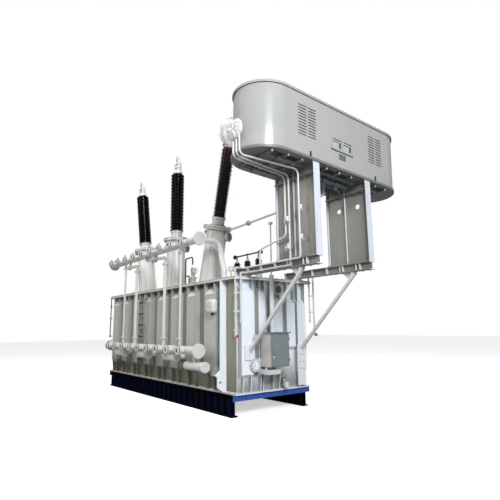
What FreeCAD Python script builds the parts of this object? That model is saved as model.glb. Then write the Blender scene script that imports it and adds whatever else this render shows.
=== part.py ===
import FreeCAD, Part
import math
import os

# Oil-filled power transformer on a plate-girder stand, in millimetres.
#
# Axes: +X runs along the tank towards the oil conservator, +Y across it, +Z up.
# Everything is drawn with X = 0 and Y = 0 at the tank's middle and Z = 0 at the
# floor.  write_all() then moves it so that the origin is under the middle of
# the whole machine.

V = FreeCAD.Vector
X_AXIS = V(1, 0, 0)
Y_AXIS = V(0, 1, 0)
Z_AXIS = V(0, 0, 1)

# ---------------------------------------------------------------- stand
stand_height = 420
girder_end_inset = 185
girder_side_inset = 110
girder_flange_width = 150
girder_flange_plate = 25
girder_web = 20
stiffener_plate = 12
stiffener_count = 26
stiffener_end_margin = 110
cross_depth = 120
cross_width = 60
cross_plate = 12
cross_count = 7

# ---------------------------------------------------------------- tank
tank_length = 6830
tank_width = 2130
tank_height = 2300
flange_overhang = 130
bottom_plate = 30
bottom_inset = 60
flange_plate = 35
cover_plate = 25
cover_inset = 15

# ---------------------------------------------------------------- wall ribs
rib_depth = 100
rib_width = 460
rib_side_slant = 26
rib_count_long = 8
rib_margin_left = 112
rib_margin_right = 622
end_rib_spans = ((-915, -564), (-477, -250), (-150, 186), (294, 590), (608, 910))
end_rib_head_drops = (130, 130, 290, 340, 340)
end_rib_foot_lifts = (0, 0, 0, 500, 0)
rib_foot_height = 300
rib_foot_slope = 70
rib_head_drop = 130
rib_head_slope = 110
gusset_plate = 16
gusset_inset = 45
gusset_reach = 112
foot_gusset_inset = 80
foot_gusset_reach = 62
fin_reach = 140
fin_plate = 32
lug_reach = 205
lug_height = 350
lug_toe = 80
lug_hole_radius = 26
jack_width = 200
jack_reach = 215
jack_plate = 30
jack_height = 330
jack_gusset_height = 190
jack_gusset_count = 3
jack_gap = 30

# ---------------------------------------------------------------- ladder
ladder_overlap = 114
ladder_standoff = 40
ladder_width = 290
ladder_bottom = 330
ladder_below_cover = 120
ladder_rung_pitch = 300
ladder_rung_radius = 12
ladder_stringer = 40
ladder_stringer_plate = 8

# ---------------------------------------------------------------- oil headers
header_y = -1350
header_radius = 84
header_left_inset = 885
header_right_inset = 735
header_flange_radius = 150
header_flange_plate = 28
header_neck = 24
upper_header_above_cover = 860
lower_header_height = 820
valve_count = 9
valve_left_inset = 280
valve_right_inset = 510
valve_branch_radius = 45
valve_branch_length = 95
valve_radius = 92
valve_thickness = 62
valve_lever_radius = 9
valve_lever_length = 45
thin_riser_radius = 28
thick_riser_radius = 40
riser_left_insets = (900, 1710)
riser_right_insets = (1590, 820)
riser_arm_drop = 205
riser_arms = ((560, 0), (1000, 85))
elbow_pipe_radius = 60
elbow_flange_radius = 105
elbow_inset = 110
elbow_foot_shift = 210
elbow_y = -800
elbow_bend = 150
drum_radius = 85
drum_inset = 60
drum_stem_radius = 32
drum_stub_radius = 60
drum_layout = ((1, 275, 361, 178), (3, 305, 315, 178), (5, 351, 219, 178), (6, 100, 650, 320))

# ---------------------------------------------------------------- high voltage side
turret_y = -550
turret_spacing = 1690
turret_leans = (-11.8, 0.0, 14.2)
turret_length = 1375
turret_radius = 242
turret_foot_radius = 268
turret_foot_plate = 25
turret_foot_flange = 30
turret_flange_radius = 340
turret_flange_plate = 32
side_cover_radius = 108
side_cover_depth = 135
side_cover_height = 1085
side_cover_angle = 22
side_cover_plate = 22
mount_radius = 148
mount_length = 200
mount_flange_radius = 192
mount_flange_plate = 26
insulator_length = 1655
insulator_radii = ((112, 188), (112, 184), (122, 162))
shed_pitch = 46
shed_small_ratio = 0.9
shed_thickness = 15
cap_radius = 100
cap_height = 290
stem_radius = 34
stem_height = 70
palm_width = 120
palm_thickness = 28
palm_height = 150
wrap_profile = ((135, 0), (195, 110), (290, 320), (282, 460), (215, 590), (150, 680),
                (112, 750), (40, 790))

# ---------------------------------------------------------------- low voltage side
small_bushing_y = -300
small_bushing_insets = (965, 580, 195)
pedestal_radius = 75
pedestal_height = 250
small_insulator_radius = 82
small_insulator_core = 54
small_insulator_height = 170
small_shed_count = 4
small_stud_radius = 16
small_stud_height = 135
busbar_width = 50
busbar_thickness = 22
busbar_overhang = 95
busbar_disc_radius = 48

# ---------------------------------------------------------------- cover fittings
frame_left_of_turret = 540
frame_width = 330
frame_height = 640
frame_step_height = 210
frame_step_width = 170
frame_radius = 17
frame_y = -900
cover_valve_left_of_turret = 155
cover_valve_y = -920
cover_valve_radius = 86
cover_valve_height = 230
relief_inset = 565
relief_y = -760
relief_radius = 66
relief_stem = 22
relief_stem_height = 170
relief_body_height = 95
dome_inset = 815
dome_y = -640
dome_radius = 120
vent_pipe_radius = 25
vent_start_out = 310
vent_start_side = 110
vent_corner_y = 190
vent_corner_left = 90
vent_corner_drop = 250
vent_union_from_start = 560
vent_union_radius = 48
vent_union_length = 70
vent_drop_from_start = 1350
vent_drop_length = 760
vent_drop_radius = 12
relay_before_corner = 260
relay_radius = 80
relay_length = 230
relay_flange_radius = 92
relay_flange_plate = 16

# ---------------------------------------------------------------- conservator
conservator_past_tank = 1385
conservator_width = 1140
conservator_length = 3940
conservator_height = 1220
conservator_leg_height = 1615
conservator_slope = 2.2
conservator_lip = 24
conservator_lip_height = 45
underside_bar_depth = 60
underside_bar_width = 70
underside_bar_offset = 330
neck_height = 380
neck_radius = 110
neck_length = 60
neck_flange_radius = 165
neck_flange_plate = 26
sight_width = 610
sight_height = 250
sight_above_base = 360
sight_depth = 28
sight_bar = 38
nameplate_width = 190
nameplate_height = 105
nameplate_gap = 40
nameplate_depth = 8

main_pipe_from_middle = 205
main_pipe_drop = 105
main_pipe_radius = 38
main_pipe_ys = (-430, 500)
main_pipe_stubs = (-300, 60, 380)
main_pipe_flange_radius = 68
main_pipe_flange_plate = 18
level_pipe_radius = 12
level_pipe_y = 520
level_pipe_drop = 215
level_pipe_run = 90

# ---------------------------------------------------------------- brackets and beams
bracket_y = 710
beam_pad = 30
beam_depth = 155
beam_width = 155
beam_plate = 16
beam_web = 12
beam_on_cover = 415
beam_rib_pitch = 420
beam_pad_length = 160
leg_depth = 1030
leg_plate = 16
leg_width = 155
leg_back_width = 110
leg_mid_width = 90
leg_web = 12
saddle_depth = 190
saddle_width = 170
web_hole_radius = 48
web_hole_offsets = (300, 770)
web_hole_drop = 500

# ---------------------------------------------------------------- braces
brace_top_inset = 420
brace_foot_height = 870
brace_depth = 58
brace_width = 52
brace_plate = 8
anchor_width = 240
anchor_heights = (290, 850)
anchor_tops = (940, 910)
anchor_plate = 30
anchor_hole_radius = 15
anchor_hole_gap = 95
anchor_hole_pitch = 145
anchor_hole_rows = 4
brace_lug_length = 150
brace_lug_drop = 100

# ---------------------------------------------------------------- cabinet
cabinet_width = 460
cabinet_height = 640
cabinet_depth = 315
cabinet_y = -243
cabinet_base = 520
cabinet_wall = 12
rail_plate = 12
rail_spacer = 68
rail_spacer_width = 40
cap_overhang = 22
cap_thickness = 26
door_gap = 6
door_thickness = 18
door_margin = 10
door_hinge_side_margin = 8
hinge_radius = 9
hinge_length = 60
hinge_tab = 14
hinge_gap = 0.3
handle_radius = 11
handle_length = 110
handle_plate = 8
rail_height = 60
rail_right = 100
rail_lefts = (-566, -642)
rail_heights = (638, 1100)
rail_spacer_ys = (-380, 20)
tray_height = 90
tray_width = 290
tray_arm_width = 40
tray_arm_offsets = (60, 145)
tray_plate = 10
gland_radius = 22
gland_length = 55
gland_count = 4
post_radius = 48
post_y = -300
post_above_cover = 1140
post_upper_radius = 15

# ---------------------------------------------------------------- conduits
conduit_radius = 17
conduit_y_gap = 46
conduit_bend = 100
conduit_hang = 90
conduit_start_xs = (-55, 35, 120)
conduit_small_bend = 48
conduit_turn_height = 420
conduit_fall = 140
conduit_insets = (715, 612, 310)
conduit_drop_past_tank = 485
corner_pipe_ys = (955, 1085)
corner_pipe_x_gap = 40
corner_pipe_bottom = 1400
corner_pipe_step = -270

# ---------------------------------------------------------------- end wall fittings
end_flange_plate = 11
end_flange_joint = 2
manhole_radius = 125
manhole_y = 60
manhole_below_cover = 230
manhole_stub_radius = 92
manhole_reach = 140
handhole_radius = 138
handhole_y = -575
handhole_height = 550
handhole_stub_radius = 82
handhole_reach = 160
drain_radius = 66
drain_y = 200
drain_height = 110
drain_reach = 190
drain_stub_radius = 34

# ---------------------------------------------------------------- worked-out places
deck = stand_height
cover_top = deck + tank_height
flange_under = cover_top - cover_plate - flange_plate
wall_base = deck + bottom_plate
wall_x = tank_length / 2 - flange_overhang
wall_y = tank_width / 2 - flange_overhang
girder_length = tank_length - 2 * girder_end_inset
girder_spacing = tank_width - 2 * girder_side_inset
rib_pitch_long = (2 * wall_x - rib_margin_left - rib_margin_right - rib_width) / (rib_count_long - 1)
rib_xs = [rib_width / 2 + rib_margin_left - wall_x + index * rib_pitch_long
          for index in range(rib_count_long)]
jack_x = rib_xs[-1] + rib_width / 2 + jack_gap / 2 + jack_width / 2
jack_left_x = (rib_xs[0] + rib_xs[1]) / 2
fin_x = jack_x + jack_width / 2 + jack_gap / 2 + fin_plate / 2
ladder_x = rib_xs[3] - rib_width / 2 + ladder_overlap - ladder_width / 2
beam_bottom = cover_top + beam_pad
beam_top = beam_bottom + beam_depth
header_left = header_left_inset - wall_x
header_right = wall_x - header_right_inset
header_heights = {"upper": cover_top + upper_header_above_cover, "lower": deck + lower_header_height}
valve_first = header_left + valve_left_inset
valve_pitch = (header_right - valve_right_inset - valve_first) / (valve_count - 1)
conservator_x = tank_length / 2 + conservator_past_tank
conservator_bottom = beam_top + conservator_leg_height
leg_front_x = conservator_x + conservator_width / 2
leg_back_x = leg_front_x - leg_depth


# ================================================================ shape helpers
def box(x0, x1, y0, y1, z0, z1):
    return Part.makeBox(x1 - x0, y1 - y0, z1 - z0, V(x0, y0, z0))


def cylinder(start, direction, length, radius):
    return Part.makeCylinder(radius, length, start, direction)


def rod(start, end, radius):
    run = end - start
    return Part.makeCylinder(radius, run.Length, start, run)


def prism(points, sweep):
    wire = Part.makePolygon(points + [points[0]])
    return Part.Face(wire).extrude(sweep)


def fused(shapes):
    if len(shapes) == 1:
        return shapes[0]
    return shapes[0].multiFuse(shapes[1:]).removeSplitter()


def pipe(points, radius, bends):
    """Round pipe through the points, with a tangent bend at each inner one.

    bends is one radius for every corner, or a list with a radius for each.
    """
    if not isinstance(bends, list):
        bends = [bends] * (len(points) - 2)
    edges = []
    start = points[0]
    for before, corner, after, bend in zip(points, points[1:], points[2:], bends):
        arrive = (corner - before).normalize()
        leave = (after - corner).normalize()
        turn = arrive.getAngle(leave)
        setback = bend * math.tan(turn / 2)
        first = corner - arrive * setback
        last = corner + leave * setback
        inward = (leave - arrive).normalize()
        centre = corner + inward * (bend / math.cos(turn / 2))
        middle = centre - inward * bend
        edges.append(Part.LineSegment(start, first).toShape())
        edges.append(Part.Arc(first, middle, last).toShape())
        start = last
    edges.append(Part.LineSegment(start, points[-1]).toShape())
    path = Part.Wire(edges)
    circle = Part.Circle(points[0], points[1] - points[0], radius)
    section = Part.Wire([circle.toShape()])
    return path.makePipeShell([section], True, False)


def turned_profile(points):
    """Solid of revolution about +Z from (radius, height) points, closed to the axis."""
    outline = [V(0, 0, points[0][1])]
    outline += [V(radius, 0, height) for radius, height in points]
    outline.append(V(0, 0, points[-1][1]))
    wire = Part.makePolygon(outline + [outline[0]])
    return Part.Face(wire).revolve(V(0, 0, 0), Z_AXIS, 360)


def largest_solid(shape):
    return max(shape.Solids, key=lambda solid: solid.Volume)


def placed(shape, angle, spot):
    """Turn a shape about +Z and carry it to a spot."""
    copy = shape.copy()
    copy.rotate(V(0, 0, 0), Z_AXIS, angle)
    copy.translate(spot)
    return copy


machine = {}


def add(node, *solids):
    """Keep one node's solids until the whole machine is drawn."""
    machine[node] = solids[0] if len(solids) == 1 else Part.makeCompound(list(solids))


def write_all():
    """Write every node, shifted so that the origin is under the machine's middle."""
    limits = FreeCAD.BoundBox()
    for whole in machine.values():
        limits.add(whole.optimalBoundingBox())
    shift = V(-limits.Center.x, -limits.Center.y, -limits.ZMin)
    os.makedirs("parts", exist_ok=True)
    for node, whole in machine.items():
        whole.translate(shift)
        whole.exportStep(os.path.join("parts", node + ".step"))
        print(node, len(whole.Solids), "valid" if whole.isValid() else "NOT VALID")
    print("shift", shift)


# ================================================================ stand
def girder(side):
    """One long I-section girder with web stiffeners on both faces."""
    half = girder_length / 2
    y = side * girder_spacing / 2
    reach = girder_flange_width / 2
    web = box(-half, half, y - girder_web / 2, y + girder_web / 2, 0, stand_height)
    parts = [web]
    for low in (0, stand_height - girder_flange_plate):
        parts.append(box(-half, half, y - reach, y + reach, low, low + girder_flange_plate))
    span = girder_length - 2 * stiffener_end_margin
    pitch = span / (stiffener_count - 1)
    for index in range(stiffener_count):
        x = -span / 2 + index * pitch
        parts.append(box(x - stiffener_plate / 2, x + stiffener_plate / 2, y - reach, y + reach,
                         girder_flange_plate, stand_height - girder_flange_plate))
    return fused(parts)


def cross_member(x0, x1, half_span, open_side):
    """Channel across the stand, flush with its top, open towards open_side in X."""
    low = stand_height - cross_depth
    solid = box(x0, x1, -half_span, half_span, low, stand_height)
    web_side = cross_plate * open_side
    recess = box(x0 + web_side, x1 + web_side, -half_span, half_span,
                 low + cross_plate, stand_height - cross_plate)
    return solid.cut(recess)


def build_stand():
    add("stand_girder_front", girder(-1))
    add("stand_girder_rear", girder(1))
    half = girder_length / 2
    inner_span = (girder_spacing - girder_flange_width) / 2
    outer_span = (girder_spacing + girder_flange_width) / 2
    members = [cross_member(half, half + cross_width, outer_span, -1),
               cross_member(-half - cross_width, -half, outer_span, 1)]
    pitch = girder_length / (cross_count + 1)
    for index in range(cross_count):
        x = -half + (index + 1) * pitch
        members.append(cross_member(x - cross_width / 2, x + cross_width / 2, inner_span, 1))
    add("stand_cross_members", *members)


# ================================================================ tank
def plate_on_tank(inset, z0, z1):
    half_x = tank_length / 2 - inset
    half_y = tank_width / 2 - inset
    return box(-half_x, half_x, -half_y, half_y, z0, z1)


def cover_dome():
    """Low round dome on the cover."""
    x = dome_inset - tank_length / 2
    sphere = Part.makeSphere(dome_radius, V(x, dome_y, cover_top - 5))
    return sphere.common(box(x - dome_radius, x + dome_radius, dome_y - dome_radius,
                             dome_y + dome_radius, cover_top - 5, cover_top + dome_radius))


def build_tank():
    add("tank_bottom_plate", plate_on_tank(bottom_inset, deck, wall_base))
    add("tank_body", plate_on_tank(flange_overhang, wall_base, flange_under))
    add("tank_flange", plate_on_tank(0, flange_under, flange_under + flange_plate))
    cover = plate_on_tank(cover_inset, flange_under + flange_plate, cover_top)
    add("tank_cover", fused([cover, cover_dome()]))


def rib(width, head_drop=rib_head_drop, foot_lift=0):
    """Welded box rib on a wall at x = 0 that faces +X, with its gusset plates."""
    foot = deck + rib_foot_height + foot_lift
    head = flange_under - head_drop
    plan = prism([V(0, -width / 2, wall_base), V(rib_depth, -width / 2 + rib_side_slant, wall_base),
                  V(rib_depth, width / 2 - rib_side_slant, wall_base), V(0, width / 2, wall_base)],
                 V(0, 0, flange_under - wall_base))
    side = prism([V(0, -width, foot), V(rib_depth, -width, foot + rib_foot_slope),
                  V(rib_depth, -width, head - rib_head_slope), V(0, -width, head)],
                 V(0, 2 * width, 0))
    parts = [plan.common(side)]
    for hand in (-1, 1):
        y = hand * (width / 2 - gusset_inset) - gusset_plate / 2
        parts.append(prism([V(0, y, head), V(rib_depth, y, head - rib_head_slope),
                            V(gusset_reach, y, flange_under), V(0, y, flange_under)],
                           V(0, gusset_plate, 0)))
        y = hand * (width / 2 - foot_gusset_inset) - gusset_plate / 2
        if not foot_lift:
            parts.append(prism([V(0, y, wall_base), V(foot_gusset_reach, y, wall_base),
                                V(rib_depth, y, foot + rib_foot_slope), V(0, y, foot)],
                               V(0, gusset_plate, 0)))
    return fused(parts)


def lifting_fin():
    """Upright fin plate with a holed hauling lug at its foot, on a wall at x = 0."""
    y = -fin_plate / 2
    lug_top = deck + lug_height
    strip = box(0, fin_reach, y, y + fin_plate, lug_top, flange_under)
    lug = prism([V(0, y, wall_base), V(lug_toe, y, wall_base), V(lug_reach, y, wall_base + lug_toe),
                 V(lug_reach, y, lug_top), V(0, y, lug_top)], V(0, fin_plate, 0))
    hole_spot = V((lug_reach + lug_toe) / 2, y - 1, deck + lug_height * 0.6)
    hole = cylinder(hole_spot, Y_AXIS, fin_plate + 2, lug_hole_radius)
    return strip.fuse(lug).removeSplitter().cut(hole)


def jacking_bracket():
    """Level jacking plate under sloping gussets, on a wall at x = 0."""
    low = deck + jack_height
    high = low + jack_plate
    parts = [box(0, jack_reach, -jack_width / 2, jack_width / 2, low, high)]
    step = (jack_width - gusset_plate) / (jack_gusset_count - 1)
    for index in range(jack_gusset_count):
        y = -jack_width / 2 + index * step
        parts.append(prism([V(0, y, high), V(jack_reach, y, high), V(0, y, high + jack_gusset_height)],
                           V(0, gusset_plate, 0)))
    for y in (-jack_width / 2, jack_width / 2 - gusset_plate):
        parts.append(prism([V(0, y, low), V(jack_reach, y, low), V(0, y, low - jack_gusset_height)],
                           V(0, gusset_plate, 0)))
    return fused(parts)


def end_ribs(side):
    """Ribs of one end wall, side 1 for the right end and -1 for the left."""
    ribs = []
    for (y0, y1), drop, lift in zip(end_rib_spans, end_rib_head_drops, end_rib_foot_lifts):
        spot = V(side * wall_x, (y0 + y1) / 2, 0)
        ribs.append(placed(rib(y1 - y0, drop, lift), 90 - 90 * side, spot))
    return ribs


def build_ribs():
    add("ribs_right_end", *end_ribs(1))
    add("ribs_left_end", *end_ribs(-1))
    for node, side in (("ribs_front", -1), ("ribs_rear", 1)):
        angle = 90 * side
        wall = side * wall_y
        pieces = [placed(rib(rib_width), angle, V(x, wall, 0)) for x in rib_xs]
        pieces.append(placed(lifting_fin(), angle, V(fin_x, wall, 0)))
        pieces += [placed(jacking_bracket(), angle, V(x, wall, 0)) for x in (jack_left_x, jack_x)]
        add(node, *pieces)


def build_ladder():
    """Ladder on the long wall: its right stringer stands off a rib, its left one off the wall."""
    y = -wall_y - rib_depth - ladder_standoff
    parts = []
    for hand, back in ((-1, -wall_y), (1, -wall_y - rib_depth)):
        x0 = ladder_x + hand * ladder_width / 2 - ladder_stringer_plate / 2
        x1 = x0 + ladder_stringer_plate
        parts.append(box(x0, x1, y - ladder_stringer, y,
                         deck + ladder_bottom, cover_top - ladder_below_cover))
        for z in (deck + ladder_bottom + 100, cover_top - ladder_below_cover - 140):
            parts.append(box(x0, x1, y - ladder_stringer / 2, back, z, z + 40))
    rung = deck + ladder_bottom + ladder_rung_pitch / 2
    while rung < cover_top - ladder_below_cover:
        start = V(ladder_x - ladder_width / 2, y - ladder_stringer / 2, rung)
        parts.append(cylinder(start, X_AXIS, ladder_width, ladder_rung_radius))
        rung += ladder_rung_pitch
    add("ladder", fused(parts))


# ================================================================ oil headers
def header(level):
    """Long header pipe with a blank flange at each end and a row of valve branches."""
    z = header_heights[level]
    parts = [cylinder(V(header_left, header_y, z), X_AXIS, header_right - header_left, header_radius)]
    for x in (header_left, header_right - header_flange_plate):
        parts.append(cylinder(V(x, header_y, z), X_AXIS, header_flange_plate, header_flange_radius))
    for index in range(valve_count):
        x = valve_first + index * valve_pitch
        parts.append(cylinder(V(x, header_y, z), V(0, -1, 0),
                              header_radius + valve_branch_length, valve_branch_radius))
    return parts


def valve_set(level):
    """Butterfly valves with blank plates and levers on the ends of one header's branches."""
    z = header_heights[level]
    face = header_y - header_radius - valve_branch_length
    valves = []
    for index in range(valve_count):
        x = valve_first + index * valve_pitch
        body = cylinder(V(x, face, z), V(0, -1, 0), valve_thickness, valve_radius)
        lever = cylinder(V(x, face - valve_thickness / 2, z), Z_AXIS,
                         valve_radius + valve_lever_length, valve_lever_radius)
        valves.append(body.fuse(lever).removeSplitter())
    return valves


def oil_drum(gap, left, right, drop):
    """Drum under the lower header, on a stub from the wall between two ribs."""
    x = rib_xs[gap] + rib_pitch_long / 2
    y = header_y + drum_inset
    z = header_heights["lower"] - drop
    end = V(x + right - header_flange_plate, y, z)
    stem = V(x + (right - left) / 2, header_y + drum_inset / 2, z)
    drum = fused([cylinder(V(x - left, y, z), X_AXIS, left + right, drum_radius),
                  cylinder(end, X_AXIS, header_flange_plate, drum_radius + header_neck),
                  cylinder(V(x, y, z), Y_AXIS, -wall_y - y, drum_stub_radius),
                  cylinder(stem, Z_AXIS, drop, drum_stem_radius)])
    return drum.cut(header_bore("lower"))


def header_bore(level):
    """Cylinder that a header fills, for trimming the pipes that meet it."""
    return cylinder(V(header_left, header_y, header_heights[level]), X_AXIS, header_right - header_left,
                    header_radius)


def upper_elbow():
    """Pipe from the upper header in over the tank and down to a flange on the cover."""
    x = header_right - elbow_inset
    z = header_heights["upper"]
    foot = V(x + elbow_foot_shift, elbow_y, cover_top + header_flange_plate)
    shin = V(foot.x, elbow_y, cover_top + 2 * elbow_flange_radius)
    path = [V(x, header_y, z), V(x, elbow_y, z), shin, foot]
    flange = cylinder(V(foot.x, elbow_y, cover_top), Z_AXIS, header_flange_plate, elbow_flange_radius)
    return fused([pipe(path, elbow_pipe_radius, elbow_bend), flange]).cut(header_bore("upper"))


def build_headers():
    for level in ("lower", "upper"):
        add(level + "_header", fused(header(level)))
        add(level + "_header_valves", *valve_set(level))
    add("oil_drums", *[oil_drum(*layout) for layout in drum_layout])
    add("upper_elbow", upper_elbow())
    build_risers()


def riser(x, arm=None):
    """Upright pipe between the headers: a thin one is straight, a thick one ends in a side arm."""
    low, high = header_heights["lower"], header_heights["upper"]
    radius = thick_riser_radius if arm else thin_riser_radius
    foot = V(x, header_y, low)
    if not arm:
        whole = rod(foot, V(x, header_y, high), radius)
    else:
        length, rise = arm
        arm_z = high - riser_arm_drop
        end = V(x - length, header_y, arm_z + rise)
        neck = end + X_AXIS * (2 * radius)
        whole = fused([pipe([foot, V(x, header_y, arm_z), end], radius, 2 * radius),
                       rod(neck, V(neck.x, header_y, high), radius * 0.8),
                       cylinder(end, X_AXIS, header_flange_plate, radius * 1.6)])
    return whole.cut(header_bore("lower")).cut(header_bore("upper"))


def build_risers():
    left = [header_left + inset for inset in riser_left_insets]
    right = [header_right - inset for inset in riser_right_insets]
    add("risers_left", riser(left[0]), riser(left[1], riser_arms[0]))
    add("risers_right", riser(right[0], riser_arms[1]), riser(right[1]))


# ================================================================ high voltage side
def stacked(shape, base_height, x, lean):
    """Put a shape drawn upright on z = 0 at a height on a leaning turret axis."""
    copy = shape.copy()
    copy.translate(V(0, 0, base_height))
    copy.rotate(V(0, 0, 0), Y_AXIS, lean)
    copy.translate(V(x, turret_y, cover_top))
    return copy


def on_turret(x, lean, out, height):
    """Point in a turret's leaning frame: out from its axis towards +X, height along it."""
    angle = math.radians(lean)
    return V(x + out * math.cos(angle) + height * math.sin(angle), turret_y,
             cover_top + height * math.cos(angle) - out * math.sin(angle))


def turret():
    """Turret with its double top flange, drawn about its own axis and too long below."""
    below = 4 * turret_foot_flange + 60
    parts = [Part.makeCone(turret_foot_radius, turret_radius, turret_length + below, V(0, 0, -below))]
    for step in (0, 1.4):
        low = turret_length - turret_flange_plate * (1 + step)
        parts.append(cylinder(V(0, 0, low), Z_AXIS, turret_flange_plate, turret_flange_radius))
    return fused(parts)


def side_cover(x, lean):
    """Level round cover on the side of a turret, behind its own flange."""
    angle = math.radians(side_cover_angle)
    out = V(math.cos(angle), math.sin(angle), 0)
    start = on_turret(x, lean, 0, side_cover_height)
    reach = turret_radius + side_cover_depth
    flange = cylinder(start + out * (reach - 2 * side_cover_plate), out, side_cover_plate,
                      side_cover_radius * 1.12)
    return [cylinder(start, out, reach, side_cover_radius * 0.86), flange]


def turret_on_cover(x, lean):
    """Leaning turret trimmed flush with the cover, on a flat foot plate."""
    leaning = fused([stacked(turret(), 0, x, lean)] + side_cover(x, lean))
    size = 4 * turret_length
    floor = box(x - size, x + size, turret_y - size, turret_y + size, cover_top - size, cover_top)
    foot = cylinder(V(x, turret_y, cover_top), Z_AXIS, turret_foot_plate,
                    turret_foot_radius + turret_foot_flange)
    return leaning.cut(floor).fuse(foot).removeSplitter()


def bushing_mount():
    flange = cylinder(V(0, 0, 0), Z_AXIS, mount_flange_plate, mount_flange_radius)
    return flange.fuse(cylinder(V(0, 0, 0), Z_AXIS, mount_length, mount_radius)).removeSplitter()


def insulator(core, shed_radius):
    """Shedded insulator, with every second shed smaller."""
    points = [(core, 0)]
    count = int((insulator_length - shed_pitch / 2) / shed_pitch)
    for index in range(count):
        height = shed_pitch / 2 + index * shed_pitch
        radius = shed_radius if index % 2 == 0 else shed_radius * shed_small_ratio
        points += [(core, height), (radius, height),
                   (radius, height + shed_thickness * 0.4), (core, height + shed_thickness * 1.6)]
    points.append((core, insulator_length))
    return turned_profile(points)


def terminal():
    """Metal cap, stem and flat palm on top of a bushing."""
    parts = [turned_profile([(cap_radius * 1.25, 0), (cap_radius * 1.25, cap_height * 0.25),
                             (cap_radius, cap_height * 0.35), (cap_radius, cap_height * 0.9),
                             (cap_radius * 0.7, cap_height)]),
             cylinder(V(0, 0, cap_height), Z_AXIS, stem_height, stem_radius)]
    top = cap_height + stem_height
    parts.append(box(-palm_width / 2, palm_width / 2, -palm_thickness / 2, palm_thickness / 2,
                     top - 30, top + palm_height))
    return fused(parts)


def build_high_voltage():
    for index, name in enumerate(("left", "middle", "right")):
        x = (index - 1) * turret_spacing
        lean = turret_leans[index]
        mount = stacked(bushing_mount(), turret_length, x, lean)
        add("turret_" + name, fused([turret_on_cover(x, lean), mount]))
        height = turret_length + mount_length
        add("insulator_" + name, stacked(insulator(*insulator_radii[index]), height, x, lean))
        height += insulator_length
        if name == "right":
            add("terminal_wrap_right", stacked(turned_profile(wrap_profile), height, x, lean))
        else:
            add("terminal_" + name, stacked(terminal(), height, x, lean))


# ================================================================ low voltage side
def small_insulator():
    points = [(small_insulator_core, 0)]
    step = small_insulator_height / (small_shed_count + 0.5)
    for index in range(small_shed_count):
        low = step * (index + 0.5)
        points += [(small_insulator_core, low), (small_insulator_radius, low + step * 0.1),
                   (small_insulator_radius, low + step * 0.3), (small_insulator_core, low + step * 0.7)]
    points.append((small_insulator_core, small_insulator_height))
    body = turned_profile(points)
    stud = cylinder(V(0, 0, small_insulator_height), Z_AXIS, small_stud_height, small_stud_radius)
    knob = cylinder(V(0, 0, small_insulator_height), Z_AXIS, small_stud_radius * 3, small_stud_radius * 2)
    return fused([body, stud, knob])


def build_low_voltage():
    pedestals = []
    insulators = []
    xs = [tank_length / 2 - inset for inset in small_bushing_insets]
    for x in xs:
        spot = V(x, small_bushing_y, cover_top)
        collar = cylinder(V(0, 0, pedestal_height - 20), Z_AXIS, 20, pedestal_radius * 1.25)
        foot = cylinder(V(0, 0, 0), Z_AXIS, 20, pedestal_radius * 1.3)
        column = cylinder(V(0, 0, 0), Z_AXIS, pedestal_height, pedestal_radius)
        pedestals.append(placed(fused([column, foot, collar]), 0, spot))
        insulators.append(placed(small_insulator(), 0, spot + V(0, 0, pedestal_height)))
    add("small_bushing_pedestals", *pedestals)
    add("small_bushings", *insulators)
    bar_z = cover_top + pedestal_height + small_insulator_height + small_stud_height
    bar = box(xs[0] - busbar_overhang, xs[-1] + busbar_overhang, small_bushing_y - busbar_width / 2,
              small_bushing_y + busbar_width / 2, bar_z, bar_z + busbar_thickness)
    middle_z = bar_z + busbar_thickness / 2
    discs = [cylinder(V(x, small_bushing_y, middle_z), X_AXIS, busbar_thickness, busbar_disc_radius)
             for x in (xs[0] - busbar_overhang, xs[-1] + busbar_overhang - busbar_thickness)]
    add("neutral_bar", fused([bar] + discs))


# ================================================================ cover fittings
def build_cover_fittings():
    build_sampling_frame()
    build_cover_valve()
    build_relief_drum()
    build_vent_pipe()


def build_sampling_frame():
    """Bent pipe frame standing on the cover, with a low side step."""
    x0 = turret_spacing - frame_left_of_turret
    top = cover_top + frame_height
    step = cover_top + frame_step_height
    tall = [V(x0, frame_y, cover_top), V(x0, frame_y, top), V(x0 + frame_width, frame_y, top),
            V(x0 + frame_width, frame_y, top - frame_height * 0.28)]
    side = [V(x0, frame_y, step), V(x0 + frame_step_width, frame_y, step),
            V(x0 + frame_step_width, frame_y, cover_top)]
    add("sampling_frame", fused([pipe(tall, frame_radius, 3 * frame_radius),
                                  pipe(side, frame_radius, 2 * frame_radius)]))


def build_cover_valve():
    """Flanged valve on the cover, with a bar handle."""
    spot = V(turret_spacing - cover_valve_left_of_turret, cover_valve_y, cover_top)
    body_height = cover_valve_height * 0.5
    parts = [cylinder(spot, Z_AXIS, body_height, cover_valve_radius * 0.8),
             cylinder(spot, Z_AXIS, 18, cover_valve_radius),
             cylinder(spot + V(0, 0, body_height), Z_AXIS, 36, cover_valve_radius * 1.1),
             cylinder(spot + V(0, 0, body_height + 36), Z_AXIS, cover_valve_height,
                      cover_valve_radius * 0.55),
             rod(spot + V(-110, 0, body_height * 2.6), spot + V(150, 0, body_height * 2.9), 10)]
    add("cover_valve", fused(parts))


def build_relief_drum():
    """Small pressure relief drum on a stem."""
    spot = V(tank_length / 2 - relief_inset, relief_y, cover_top)
    drum = fused([cylinder(spot, Z_AXIS, 14, relief_stem * 2.2),
                  cylinder(spot, Z_AXIS, relief_stem_height, relief_stem),
                  cylinder(spot + V(0, 0, relief_stem_height), Z_AXIS, relief_body_height, relief_radius)])
    add("relief_drum", drum)


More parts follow.
